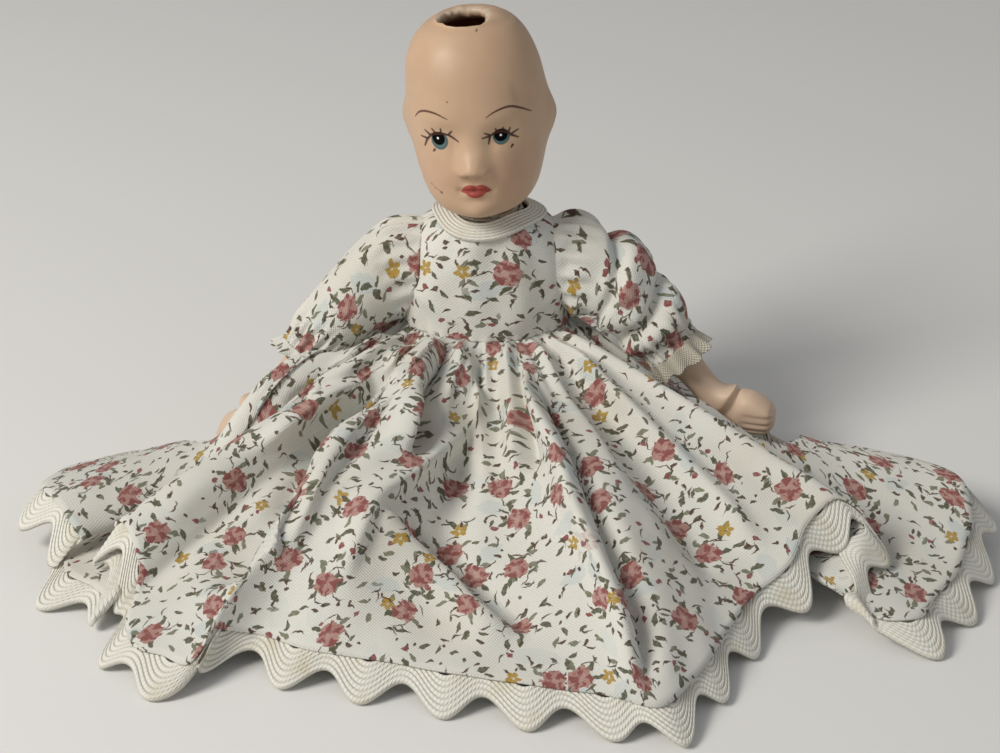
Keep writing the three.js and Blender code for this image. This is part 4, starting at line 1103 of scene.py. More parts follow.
@dataclass
class Head:
    """Hollow bisque head with its broken-open crown."""

    around: int = 200
    rows: int = 120
    inner_rows: int = 24
    crowding: float = 0.6
    chin: float = 6.2
    crown: float = 42.2
    width: float = 13.0
    face: float = 13.2
    back: float = 16.4
    wall: float = 1.5
    foot: float = 0.02
    neck: float = 4.7
    neck_levels: tuple[float, ...] = (1.5, 2.6, 4.0, 5.2)
    flange: float = 6.0
    flange_top: float = 1.2
    middle: float = 0.4
    lean: float = 0.6
    nose_rise: float = 2.6
    nose_tip: float = 17.2
    nose_spans: Spot = (1.35, 2.7)
    nose_width: float = 2.35
    dome_rise: float = 0.35
    hole_middle: float = -0.8
    hole_dip: float = 0.9
    outline: Rows = (
        (0, 0.55, 0.66, 0.42), (0.03, 0.67, 0.88, 0.46), (0.09, 0.79, 0.98, 0.56), (0.2, 0.89, 1.0, 0.75),
        (0.34, 0.96, 1.0, 0.92), (0.48, 1.0, 1.0, 1.0), (0.62, 0.99, 1.0, 0.99), (0.76, 0.94, 0.92, 0.9),
        (0.87, 0.83, 0.77, 0.78), (0.945, 0.67, 0.59, 0.63), (0.98, 0.52, 0.46, 0.50),
    )
    hole: tuple[Spot, ...] = (
        (2.7, -3.2), (1.8, -4.8), (-0.6, -5.3), (-3.7, -4.6), (-5.5, -2.8), (-5.2, -0.2), (-3.6, 2.2),
        (-0.8, 3.1), (1.5, 2.6), (2.3, 1.0), (2.7, -1.2),
    )
    # Strength, place and spread aside, height and spread in height
    features: Rows = (
        (0.55, 2.25, 0.8, 16.8, 0.9),  # wings of the nose
        (-0.7, 1.15, 0.55, 15.9, 0.45),  # nostrils
        (-0.5, 3.2, 1.4, 21.4, 2.0),  # inner corners of the eyes
        (-1.3, 5.6, 2.9, 22.9, 2.0),  # eye sockets
        (0.55, 5.6, 1.9, 22.5, 1.5),  # eyeballs
        (0.3, 5.8, 3.5, 26.6, 1.8),  # brows
        (0.75, 6.0, 3.6, 15.2, 3.6),  # cheeks
        (0.6, 1.0, 1.1, 13.7, 0.6),  # upper lip
        (0.7, 0, 1.5, 12.3, 0.7),  # lower lip
        (-0.4, 0, 2.3, 13.02, 0.28),  # parting of the lips
        (-0.35, 2.9, 0.7, 12.8, 0.7),  # corners of the mouth
        (-0.35, 0, 2.2, 10.8, 0.8),  # hollow under the mouth
        (0.9, 0, 2.9, 8.2, 1.9),  # chin
    )
    ears: Rows = ((1.7, 1, 2.4, 22.4, 4.0), (-0.5, 0.2, 0.9, 22.2, 2.0))

    def swellings(self, rows: Rows, place: Array, height: float) -> Array:
        """Sum of rounded swellings and hollows at a height."""
        shares = ((row[0], bell(place - row[1], row[2]) * bell(height - row[3], row[4])) for row in rows)
        return sum(rise * share for rise, share in shares)

    def relief(self, x: Array, height: float) -> Array:
        """Models the face in front of the plain outline.

        Args:
            x: Places across the face.
            height: Height of the ring.

        Returns:
            How far each place stands out.
        """
        side = np.abs(x - self.middle)
        below, above = self.nose_spans
        tip = bell(height - self.nose_tip, below if height < self.nose_tip else above)
        width = self.nose_width + 0.4 * bell(height - 16.8, 1.6)
        nose = self.nose_rise * tip * np.exp(-((side / width) ** 2.5))
        return nose + self.swellings(self.features, side, height)

    def angles(self) -> Array:
        """Angles round the head, packed closer together at the face."""
        turn = turns(self.around)
        return -math.pi / 2 + turn - self.crowding * np.sin(turn)

    def ring(self, width: float, front: float, back: float, height: float) -> Array:
        """Oval ring with its own depths in front and behind."""
        angle = self.angles()
        depth = np.where(np.sin(angle) < 0, front, back)
        return joined(width * np.cos(angle), depth * np.sin(angle), height)

    def round_ring(self, radius: float, height: float) -> Array:
        """Round ring about the neck."""
        return self.ring(radius, radius, radius, height)

    def hole_ring(self, margin: float, height: float, seed: int) -> Array:
        """Ragged ring round the break in the crown.

        Args:
            margin: How far it lies outside the break.
            height: Height behind, from which it dips in front.
            seed: Seed of its raggedness.

        Returns:
            Points of the ring.
        """
        angle = self.angles()
        knots = np.array(self.hole) - np.array([self.hole_middle, 0])
        turn = np.arctan2(knots[:, 1], knots[:, 0])
        order = np.argsort(turn)
        radius = np.interp(angle, turn[order], np.hypot(*knots.T)[order], period=TURN) + margin
        spread = 8 * joined(np.cos(angle), np.sin(angle))
        radius = radius + 0.16 * ripple(spread, seed, 4.5, 1.6)
        dip = self.hole_dip * np.clip(-np.sin(angle), 0, 1) ** 2
        level = height - dip + 0.12 * ripple(spread, seed + 1, 5, 2)
        return joined(radius * np.cos(angle) + self.hole_middle, radius * np.sin(angle), level)

    def skin(self, knots: Array) -> list[Array]:
        """Makes the outer rings of the face, the ears and the back of the head.

        Args:
            knots: Heights with their half width and depths.

        Returns:
            Rings from the chin up.
        """
        rings = []
        facing = np.clip(-np.sin(self.angles()), 0, 1) ** 2
        for height, width, front, back in through(knots, self.rows, measured=4):
            ring = self.ring(width, front, back, height)
            ear = self.swellings(self.ears, ring[:, 1], height)
            ring[:, 1] -= facing * self.relief(ring[:, 0], height)
            ring[:, 0] += np.sign(ring[:, 0]) * ear - self.lean * bell(height - 37, 7)
            rings.append(ring)
        return rings

    def build(self, finish: Finish) -> None:
        """Makes the shell from flange to crown and back down inside.

        Args:
            finish: Finish of the painted head.
        """
        sizes = np.array([self.crown - self.chin, self.width, self.face, self.back])
        knots = np.array(self.outline) * sizes + np.array([self.chin, 0, 0, 0])
        skin = self.skin(knots)
        neck = [self.round_ring(self.flange, level) for level in (self.foot, self.flange_top)]
        neck += [self.round_ring(self.neck, level) for level in self.neck_levels]
        rim = self.hole_ring(0.35, self.crown - 0.12, 3)
        dome = []
        for share in (0.2, 0.4, 0.6, 0.8):
            swell = rising(self.dome_rise * math.sin(math.pi * share))
            dome.append(mixed(skin[-1], rim, share) + swell)
        broken = [rim, self.hole_ring(0.05, self.crown - 0.4, 3), self.hole_ring(0.1, self.crown - 1.4, 9)]
        inner = []
        for height, *sizes in through(knots[2:-2], self.inner_rows, measured=4)[::-1]:
            inner.append(self.ring(*(size - self.wall for size in sizes), height))
        inner += [self.round_ring(self.neck - self.wall, level) for level in (self.chin + 1, self.foot)]
        rings = np.array([*neck, *skin, *dome, *broken, *inner, neck[0]])
        outer = len(neck) + len(skin) + len(dome)
        within = np.linspace(1.12, 2, len(inner) + 1)
        shares = np.concatenate([np.linspace(0, 0.999, outer), [1.0, 1.02, 1.05], within])
        uv = joined(np.linspace(0, 1, self.around + 1), shares[:, None])
        piece = lay_grid("bisque_head", closed_ring(self.placed(rings)), uv)
        dress(piece, finish, ("head",))
        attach(piece, "head")

    def placed(self, points: Array) -> Array:
        """Points of the head in the frame of the doll."""
        cosine, sine = math.cos(HEAD_ROLL), math.sin(HEAD_ROLL)
        roll = np.array([[cosine, 0, sine], [0, 1, 0], [-sine, 0, cosine]])
        cosine, sine = math.cos(HEAD_YAW), math.sin(HEAD_YAW)
        yaw = np.array([[cosine, -sine, 0], [sine, cosine, 0], [0, 0, 1]])
        return points @ (yaw @ roll).T + rising(NECK_SEAT)


@dataclass
class LimbFrame:
    """Place and ways of a limb that runs along its own third axis."""

    seam: Array
    along: Array
    upward: Array

    def __post_init__(self) -> None:
        """Works out the ways across and over the limb."""
        self.across = unit(np.cross(self.upward, self.along))
        self.over = np.cross(self.along, self.across)

    def placed(self, points: Array) -> Array:
        """Points of the limb in the frame of the doll."""
        return self.seam + points @ np.stack([self.across, self.over, self.along])


@dataclass
class ArmPose:
    """Where an arm leaves the shoulder and which way it hangs."""

    side: Side
    drop: float
    forward: float

    def along(self) -> Array:
        """Way from the shoulder to the hand."""
        level = math.cos(self.forward)
        aside, down = math.cos(self.drop) * level, -math.sin(self.drop) * level
        return np.array([self.side.value * aside, -math.sin(self.forward), down])

    def seam(self) -> Array:
        """Middle of the shoulder seam."""
        return np.array([self.side.value * SHOULDER_SIDE, 0, SHOULDER_HEIGHT])

    def limb(self) -> LimbFrame:
        """Frame of the arm."""
        return LimbFrame(self.seam(), self.along(), np.array([self.side.value * 0.6, -0.2, 1.0]))


ARMS = (ArmPose(Side.LEFT, 48 * DEG, 14 * DEG), ArmPose(Side.RIGHT, 51 * DEG, 15 * DEG))


def leg_frame(side: Side) -> LimbFrame:
    """Frame of a leg, from its hip seam along to its toes."""
    level = math.cos(LEG_PITCH)
    aside, forward = math.sin(LEG_SPLAY) * level, -math.cos(LEG_SPLAY) * level
    along = np.array([side.value * aside, forward, -math.sin(LEG_PITCH)])
    return LimbFrame(np.array([side.value * HIP_SIDE, -HIP_FRONT, HIP_HEIGHT]), along, rising(1.0))


@dataclass
class StuffedLimb:
    """Muslin tube, rounded at the body and gathered over the top of a bisque limb."""

    name: str
    ball: float
    radius: float
    length: float
    bead: float
    fullness: float = 0.75
    gathers: int = 15
    around: int = 48
    rows: int = 60
    dome: tuple[float, ...] = (-0.995, -0.9, -0.6, -0.15)
    mouth: float = 0.86
    mouth_depths: Spot = (3.2, 3.4)

    def build(self, limb: LimbFrame, muslin: Finish, body: str, replaced: Sequence[str]) -> None:
        """Makes the padded tube.

        Args:
            limb: Frame of the limb.
            muslin: Finish of the cloth.
            body: Body that it rides on.
            replaced: Nodes that it stands for.
        """
        tuck = self.length - LIMB_TUCK
        fit = self.bead + self.fullness
        knots = [[self.ball * share, self.ball * math.sqrt(1 - share**2)] for share in self.dome]
        knots += [[self.ball * 0.7, mixed(self.ball, self.radius, 0.4)], [self.length * 0.38, self.radius]]
        knots += [[tuck - 2.5, self.radius], [tuck + 0.4, fit]]
        knots += [[tuck + LIMB_TUCK / 2, fit - 0.6], [self.length, fit]]
        side = through(np.array(knots), self.rows, measured=2)
        along, half = side[:, :1], side[:, 1:]
        angle = turns(self.around)
        gather = 0.22 * ease(along, tuck - 4, tuck + 1) * np.cos(self.gathers * angle)
        lumps = 0.15 * ripple(joined(self.radius * angle, along), 11, 12, 5)
        seam = -0.3 * bell(angle - math.pi, 0.09)
        radius = half - 0.12 + (gather + lumps + seam) * np.minimum(half / self.ball, 1)
        points = joined(radius * np.cos(angle), radius * np.sin(angle), along)
        middle = 0 * points[:1]
        mouth = points[-1:] * np.array([self.mouth, self.mouth, 1.0])
        inside, floor = self.mouth_depths
        rings = [middle + rising(-self.ball), points, mouth]
        rings += [mouth - rising(inside), middle + rising(self.length - floor)]
        grid = closed_ring(limb.placed(np.concatenate(rings)))
        piece = lay_grid(self.name, grid, grid[..., :2])
        dress(piece, muslin, replaced)
        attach(piece, body)


def tied_top(top: float, bead: float, groove: float) -> list[list[float]]:
    """Knots of the beaded and grooved top of a bisque limb: place along it and half sizes."""
    return [[top + step, bead - cut, bead - cut] for step, cut in ((0, 0), (1, 0), (2, groove), (3.2, 0))]


def hollow_top(angle: Array, bead: float, top: float) -> list[Array]:
    """Rings of the hollow top of a bisque limb.

    Args:
        angle: Angles round the limb.
        bead: Radius of the bead at its top.
        top: Place of its top along the limb.

    Returns:
        Middle and edge of the hollow's floor, and the edge of its mouth.
    """
    ring = joined(np.cos(angle), np.sin(angle), 0)[None]
    bore = (bead - LIMB_WALL) * ring
    floor = rising(top + LIMB_BORE)
    return [0 * ring + floor, bore + floor, bore + rising(top)]


@dataclass
class BisqueArm:
    """Forearm with a loosely closed hand."""

    radius: float = 3.6
    hand: float = 15.0
    bend: float = 0.8
    groove: float = 0.6
    around: int = 96
    rows: int = 170
    square: float = 0.78
    fingertip: float = 0.35
    arm_sizes: tuple[Spot, Spot] = ((3.35, 3.3), (2.6, 2.8))
    hand_sizes: tuple[Place, ...] = (
        (0.16, 2.7, 3.2), (0.36, 3.0, 4.0), (0.55, 3.2, 4.3), (0.8, 3.15, 4.1), (0.93, 2.75, 3.6),
        (0.99, 1.7, 2.4),
    )
    finger_gaps: Place = (-2.6, -1.2, 0.25)

    def build(self, pose: ArmPose, finish: Finish) -> None:
        """Makes the forearm from its hollow top to the finger tips.

        Args:
            pose: Pose of the arm.
            finish: Finish of the bisque.
        """
        top = UPPER_ARM - LIMB_TUCK
        wrist = top + FOREARM - HAND
        bead = self.radius - self.groove / 2
        knots = tied_top(top, bead, self.groove) + [[top + LIMB_TUCK * 1.8, self.radius, self.radius]]
        knots += [[at, *sizes] for at, sizes in zip((mixed(wrist, top, 0.45), wrist), self.arm_sizes)]
        knots += [[wrist + share * self.hand, *sizes] for share, *sizes in self.hand_sizes]
        side = through(np.array(knots), self.rows)
        angle = turns(self.around)
        along = side[:, :1]
        share = (along - wrist) / self.hand
        x, y = self.modelled(side, angle, share)
        turn = self.bend * ease(share[:, 0], 0.08, 0.6)
        steps = np.diff(along[:, 0], prepend=along[0, 0])
        middle_y = np.cumsum(steps * np.sin(turn))[:, None]
        middle_z = (along[0, 0] + np.cumsum(steps * np.cos(turn)))[:, None]
        turn = turn[:, None]
        points = joined(x, middle_y + y * np.cos(turn), middle_z - y * np.sin(turn))
        past = self.fingertip * np.array([0, math.sin(self.bend), math.cos(self.bend)])
        end = 0 * points[:1] + points[-1].mean(axis=0) + past
        rings = [*hollow_top(angle, bead, top), points, end]
        grid = closed_ring(pose.limb().placed(np.concatenate(rings)))
        piece = lay_grid(f"bisque_forearm_{pose.side.word}", grid, grid[..., :2])
        dress(piece, finish, (f"forearm_{pose.side.word}",))
        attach(piece, f"arm_{pose.side.word}")

    def modelled(self, side: Array, angle: Array, share: Array) -> tuple[Array, Array]:
        """Models the palm, the fingers and the thumb on the plain sections.

        Args:
            side: Place along the arm and half sizes of each section.
            angle: Angles round the arm.
            share: Share of the hand's length, under nought above the wrist.

        Returns:
            Offsets across the palm and along its width.
        """
        cosine, sine = np.cos(angle), np.sin(angle)
        square = mixed(1.0, self.square, ease(share, 0.3, 0.55))
        x = side[:, 1:2] * np.sign(cosine) * np.abs(cosine) ** square
        y = side[:, 2:3] * np.sign(sine) * np.abs(sine) ** square
        palm = np.clip(-cosine, 0, 1) ** 0.5
        back = np.clip(cosine, 0, 1) ** 0.5
        for place in self.finger_gaps:
            x = x + ease(share, 0.56, 0.7) * palm * 0.42 * bell(y - place, 0.34)
            x = x - ease(share, 0.6, 0.75) * back * 0.5 * bell(y - place, 0.32)
        crease = share - 0.42 - 0.02 * y
        x = x + 1.15 * palm * bell(crease, 0.09) * ease(share, 0.2, 0.34)
        thumb = bell(share - 0.25 - 0.01 * y, 0.15) * ease(sine, -0.2, 0.9)
        notch = bell(share - 0.47, 0.05) * ease(sine, 0.3, 0.95)
        tips = ease(share, 0.66, 1.0) * ease(sine, 0.1, 0.9)
        return x - 0.9 * thumb * palm, y + 1.1 * thumb - 0.5 * notch - 1.3 * tips


@dataclass
class BisqueLeg:
    """Lower leg with a plain rounded foot."""

    calf: float = 4.2
    ankle: float = 2.9
    foot: float = 13.0
    groove: float = 0.6
    around: int = 64
    rows: int = 90
    shin: Spot = (3.9, 3.85)
    toe: float = 0.4
    sole: float = 0.12
    foot_sizes: Rows = (
        (0.35, 3.05, 2.85, 0), (0.7, 3.4, 2.55, 0.2), (0.93, 2.55, 2.1, 0.3), (0.985, 1.5, 1.3, 0.35),
    )

    def build(self, side: Side, finish: Finish) -> None:
        """Makes the leg from its hollow top to the toes.

        Args:
            side: Side of the leg.
            finish: Finish of the bisque.
        """
        top = UPPER_LEG - LIMB_TUCK
        ankle = top + LOWER_LEG - self.foot
        bead = self.calf - self.groove / 2
        knots = [[*knot, 0] for knot in tied_top(top, bead, self.groove)]
        knots += [[mixed(ankle, top, 0.6), self.calf, self.calf, 0]]
        knots += [[mixed(ankle, top, 0.35), *self.shin, 0]]
        knots += [[ankle, self.ankle, self.ankle, 0]]
        knots += [[ankle + share * self.foot, *sizes] for share, *sizes in self.foot_sizes]
        along, width, depth, rise = through(np.array(knots), self.rows).T[:, :, None]
        angle = turns(self.around)
        sole = 1 - self.sole * ease(along, ankle, ankle + 4) * np.clip(-np.sin(angle), 0, 1)
        points = joined(width * np.cos(angle), rise + sole * depth * np.sin(angle), along)
        end = 0 * points[:1] + points[-1].mean(axis=0) + rising(self.toe)
        rings = [*hollow_top(angle, bead, top), points, end]
        grid = closed_ring(leg_frame(side).placed(np.concatenate(rings)))
        piece = lay_grid(f"bisque_leg_{side.word}", grid, grid[..., :2])
        dress(piece, finish, (f"lower_leg_{side.word}",))
        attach(piece, f"leg_{side.word}")


@dataclass
class Fold:
    """A fold of the skirt along a line that the photograph shows, in its pixels."""

    line: tuple[Spot, ...]
    rise: float
    left: float
    right: float
    samples: int = 40

    def lift(self, pixels: Array) -> Array:
        """Works out how far the fold lifts the cloth.

        Args:
            pixels: Pixels at which the cloth is seen.

        Returns:
            Lift in millimetres.
        """
        knots = through(np.array(self.line), self.samples, measured=2)
        distance, run, _, turn = nearest_on(knots, pixels)
        run = run / (self.samples - 1)
        ends = ease(run, -0.02, 0.12) * (1 - ease(run, 0.8, 1.0))
        return self.rise * bell(distance, np.where(turn < 0, self.right, self.left)) * ends


@dataclass
class Ridge:
    """A ridge of cloth that is propped up in front of an arm."""

    line: tuple[Place, ...]
    front: float
    back: float
    samples: int = 48
    fading: tuple[int, int] = (4, 11)

    def lift(self, points: Array) -> Array:
        """Works out how far the ridge lifts the cloth.

        Args:
            points: Places of the cloth.

        Returns:
            Lift in millimetres.
        """
        knots = through(np.array(self.line), self.samples)
        distance, run, behind, _ = nearest_on(knots[:, :2], points[..., :2])
        height = np.interp(run, np.arange(self.samples), knots[:, 2])
        last = self.samples - 1
        ends = ease(run, 0, self.fading[0]) * (1 - ease(run, last - self.fading[1], last))
        width = np.where(behind > 0, self.back, self.front)
        return np.maximum(height - points[..., 2], 0) * bell(distance, width) * ends


@dataclass
class Skirt:
    """Full skirt that spreads over the floor in folds."""

    form: TorsoForm
    view: PhotoView
    around: int = 760
    rows: int = 64
    gathers: int = 25
    gather_seed: int = 8
    least_width: float = 0.15
    blur: int = 5
    even_reach: int = 14
    row_power: float = 1.12
    lowest: float = 0.9
    sleeve_reach: float = SLEEVE_END + 5.4
    arm_gap: float = 1.6
    arm_thick: Spot = (7.2, 4.0)
    arm_steep: Spot = (1.6, 3.0)
    # Azimuth in degrees, distance, height, how fast the cloth falls to the hem, and its crest half-way
    hem: Rows = (
        (-180, 52, 5.2, 2.2, 0), (-150, 50, 5.2, 2.2, 0), (-122, 46, 5.2, 2.2, 0), (-104, 44, 5.2, 2.4, 0),
        (-90, 44.5, 5.2, 2.6, 0), (-79, 51, 5.2, 2.8, 0), (-72.5, 61, 5.6, 3, 0), (-71, 70, 8.4, 3.2, -1),
        (-70.3, 80, 9.6, 3.2, -1), (-66.5, 89, 10, 3, 0), (-61.5, 88.5, 11, 2.9, 0),
        (-57, 88.5, 10, 2.7, 0), (-54.8, 88, 7.8, 2.5, 0), (-55.6, 90.5, 4.8, 2.4, 0),
        (-52.9, 92.7, 4.6, 2.2, 0), (-49, 91.5, 4.6, 2, 0), (-45.5, 91, 4.7, 1.8, 1),
        (-46.5, 87.5, 5.6, 1.6, 2), (-50.5, 84.5, 8.5, 1.4, 2), (-51.5, 83.5, 12, 1.2, 2),
        (-50, 83.3, 13.4, 1.1, 2), (-46.5, 84.4, 12, 1.1, 2), (-44.2, 85.8, 8, 1.2, 2),
        (-43, 88.5, 5.4, 1.4, 2), (-40.2, 94.3, 4.8, 1.5, 2), (-36.5, 98, 4.6, 1.5, 2),
        (-33.5, 97, 4.7, 1.5, 4), (-30.5, 97, 4.7, 1.4, 5), (-30, 93.5, 6.6, 1.3, 6),
        (-30, 91.5, 8.2, 1.2, 7), (-28.8, 88, 6.6, 1.15, 7), (-26.5, 85, 5.2, 1.15, 7),
        (-20.5, 85.5, 5.2, 1.15, 7), (-12, 85, 5.2, 1.4, 3), (-3, 87, 5.2, 1.6, 1), (4.5, 90, 5.2, 1.5, 2),
        (11.5, 94.5, 5.2, 1.3, 5), (16, 99.5, 5.2, 1.2, 6.5), (22, 93, 5.2, 1.2, 6.5),
        (29, 84.5, 5.4, 1.3, 5), (34.5, 80.5, 6.6, 1.3, 3), (40.5, 80.5, 9.6, 1.2, 2),
        (46, 78, 13.4, 1.2, 2), (50.5, 80, 16.5, 1.2, 2), (52.5, 84, 12.6, 1.5, 1), (48.5, 87, 8, 1.9, 0),
        (44, 91, 5.6, 2.2, 0), (43, 97, 5.2, 2.3, 0), (46, 102, 5.2, 2.4, 0), (50, 100.5, 5.3, 2.6, 0),
        (54.5, 100.5, 5.6, 2.8, 0), (59, 99, 6.4, 3, 0), (64, 97.5, 8, 3, 0), (68.5, 93.5, 10.4, 3.2, -1),
        (71.5, 84, 10.4, 3.2, -1), (74.3, 72.5, 7.8, 3.2, -1), (77.5, 62, 5.8, 3, 0),
        (86, 52.5, 5.2, 2.7, 0), (100, 47, 5.2, 2.4, 0), (122, 46, 5.2, 2.2, 0), (150, 50, 5.2, 2.2, 0),
    )
    ridges: tuple[Ridge, ...] = (
        Ridge(
            (
                (-15, -8.5, 27.0), (-22, -12, 27.4), (-28, -14.5, 27.0), (-35, -17, 26.3), (-39, -19, 25),
                (-42.5, -21, 23), (-45.5, -24, 19), (-48, -28, 14.6), (-52, -33, 11.6), (-58, -40, 10),
            ),
            front=7,
            back=4,
        ),
        Ridge(
            (
                (15, -8.5, 26.5), (24, -13, 24), (29, -15, 22), (34, -16.5, 19.5), (39, -18, 17),
                (43.5, -21, 14.5), (52, -27, 11.5),
            ),
            front=8,
            back=4,
        ),
    )
    folds: tuple[Fold, ...] = (
        Fold(((443, 343), (430, 366), (420, 386), (410, 422), (399, 463)), 3.0, 14, 5),
        Fold(((446, 352), (438, 374), (427, 400), (422, 430), (414, 465)), -4.2, 6, 8),
        Fold(((456, 350), (447, 380), (444, 420), (428, 458)), 1.2, 6, 14),
        Fold(
            ((477, 344), (470, 379), (476, 414), (463, 437), (410, 478), (371, 506), (359, 537), (340, 590)),
            3.0,
            16,
            8,
        ),
        Fold(((485, 346), (480, 380), (486, 414)), -1.8, 4, 7),
        Fold(((466, 452), (452, 485), (446, 520), (455, 560)), -2.2, 14, 18),
        Fold(((505, 342), (512, 384), (517, 442), (516, 485)), 2.4, 14, 5),
        Fold(((513, 346), (520, 384), (527, 430), (530, 475)), -2.6, 5, 7),
        Fold(
            ((519, 370), (542, 412), (563, 453), (578, 504), (601, 557), (626, 626), (638, 700)), 2.6, 14, 6
        ),
        Fold(
            ((527, 368), (553, 412), (575, 453), (592, 500), (614, 552), (638, 610), (650, 700)), -3.6, 6, 13
        ),
        Fold(((371, 506), (407, 544), (443, 575), (473, 608), (520, 640)), 2.6, 24, 8),
        Fold(((404, 518), (432, 545), (465, 575), (492, 600), (540, 635)), -3.0, 8, 16),
        Fold(((415, 350), (371, 375), (323, 399), (290, 424), (250, 455)), 3.2, 9, 7),
        Fold(((400, 360), (360, 374), (318, 388), (280, 412)), -2.4, 7, 7),
        Fold(
            ((402, 384), (345, 420), (314, 452), (292, 490), (276, 524), (248, 556), (206, 592)), -4.2, 14, 7
        ),
        Fold(((432, 352), (390, 392), (350, 428), (319, 470), (300, 516), (288, 560)), 2.4, 7, 12),
        Fold(((425, 400), (385, 440), (340, 490), (305, 540)), 1.4, 14, 14),
        Fold(((560, 345), (640, 420), (720, 500), (770, 560)), 1.8, 12, 10),
        Fold(((545, 352), (610, 430), (680, 520), (720, 590)), -2.0, 12, 10),
    )

    def below_arms(self, points: Array) -> Array:
        """Finds the highest that the cloth can lie under the arms that rest on it.

        Args:
            points: Places of the cloth.

        Returns:
            Greatest height of each.
        """
        limit = np.full(points.shape[:-1], np.inf)
        for pose in ARMS:
            along = pose.along()
            offset = points[..., :2] - pose.seam()[:2]
            plan = along[0] ** 2 + along[1] ** 2
            reach = np.clip((offset @ along[:2]) / plan, 0, UPPER_ARM + FOREARM)
            aside = np.linalg.norm(offset - reach[..., None] * along[:2], axis=-1)
            sleeved = reach < self.sleeve_reach
            thick = np.where(sleeved, *self.arm_thick)
            steep = np.where(sleeved, *self.arm_steep)
            height = SHOULDER_HEIGHT + along[2] * reach - thick - self.arm_gap
            limit = np.minimum(limit, height + steep * np.maximum(0, aside - thick * 0.9))
        return limit

    def surface(self) -> tuple[Array, Array]:
        """Works out the places of the cloth and of its pattern.

        Returns:
            Grid of points from waist to hem, and its flat pattern.
        """
        rows = np.array(self.hem)
        azimuth = rows[:, 0] * DEG
        knots = np.column_stack([rows[:, 1] * np.sin(azimuth), -rows[:, 1] * np.cos(azimuth), rows[:, 2:]])
        edge = through(knots, self.around, closed=True)
        share = np.arange(self.around) / self.around
        crossing = np.flatnonzero((edge[:, 0] > 0) & (edge[:, 1] < 0))[0]
        turn = (share - share[crossing]) * TURN
        down = (np.linspace(0, 1, self.rows) ** self.row_power)[:, None]
        waist = self.form.around(turn, np.full(turn.shape, WAIST_HEIGHT), GAP + CLOTH)
        hem, fall, crest = edge[:, :3], edge[:, 3], edge[:, 4]
        x = mixed(waist[:, 0], hem[:, 0], down)
        y = mixed(waist[:, 1], hem[:, 1], down)
        z = hem[:, 2] + (WAIST_HEIGHT - hem[:, 2]) * (1 - down) ** fall + crest * 4 * down * (1 - down)
        points = joined(x, y, z)
        points[..., 2] = np.minimum(points[..., 2], self.below_arms(points))
        points[..., 2] += sum(ridge.lift(points) for ridge in self.ridges)
        points = self.folded(points, turn, down)
        return points, self.pattern(closed_ring(points))

    def pattern(self, cloth: Array) -> Array:
        """Lays the cloth flat, as strips of true length and width side by side.

        Args:
            cloth: Grid whose last column repeats its first.

        Returns:
            Place on the flat cloth for each point, in millimetres.
        """
        reach = summed(np.linalg.norm(np.diff(cloth, axis=0), axis=-1))
        reach = closed_ring(evened(reach[:, :-1].T, self.even_reach).T)
        apart = np.linalg.norm(np.diff(cloth, axis=1), axis=-1)
        slip = np.diff(reach, axis=1)
        width = np.sqrt(np.maximum(apart**2 - slip**2, (self.least_width * apart) ** 2))
        along = (reach[:, 1:] + reach[:, :-1]) / 2
        spread = along - along.mean(axis=0)
        flare = (spread * width).sum(axis=0) / (spread**2).sum(axis=0)
        start = width.mean(axis=0) - flare * along.mean(axis=0)
        heading = summed(evened(flare, self.blur))
        heading = heading - heading[len(heading) // 2]
        between = (heading[1:] + heading[:-1]) / 2
        waist = summed(evened(start, self.blur)[:, None] * joined(np.cos(between), np.sin(between)))
        return waist + reach[..., None] * joined(np.sin(heading), -np.cos(heading))

    def folded(self, points: Array, turn: Array, down: Array) -> Array:
        """Moves the cloth out and in along its gathers and folds.

        Args:
            points: Places of the smooth cloth.
            turn: Angle of each column round the waist.
            down: Share of each row from the waist to the hem.

        Returns:
            Places of the folded cloth.
        """
        out = ways_out(points)
        draw = np.random.default_rng(self.gather_seed)
        phase = self.gathers * turn
        for harmonic in range(1, 6):
            phase = phase + draw.uniform(0.1, 0.5) * np.sin(harmonic * turn + draw.uniform(0, TURN))
        strength = 0.75 + 0.35 * np.sin(3 * turn + 1.0) + 0.25 * np.sin(7 * turn + 2.0)
        pleat = np.cos(phase) + 0.35 * np.cos(2 * phase + 0.8)
        fade = ease(down, -0.01, 0.08) * (1 - ease(down, 0.12, 0.75)) + 0.12
        lift = strength * pleat * fade * (1 - ease(down, 0.85, 1.0) * 0.7)
        pixels = self.view.pixels(points)
        towards = unit(self.view.eye() - points)
        seen = ease((out * towards).sum(-1), 0.02, 0.2) * ease(-points[..., 1], 2, 10)
        for fold in self.folds:
            lift = lift + fold.lift(pixels) * seen
        lift = lift + 0.16 * ripple(points, 21, 16, 6) * ease(down, 0.02, 0.3)
        moved = points + out * lift[..., None]
        moved[..., 2] = np.maximum(moved[..., 2], self.lowest)
        return moved

    def build(self, print_cloth: Finish) -> tuple[Piece, Array]:
        """Makes the skirt.

        Args:
            print_cloth: Finish of the cloth.

        Returns:
            The piece and its grid of points.
        """
        points, uv = self.surface()
        piece = lay_grid("skirt_cloth", closed_ring(points), uv, flipped=True)
        thicken(piece, CLOTH)
        dress(piece, print_cloth, ("skirt",))
        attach(piece, "torso")
        return piece, points


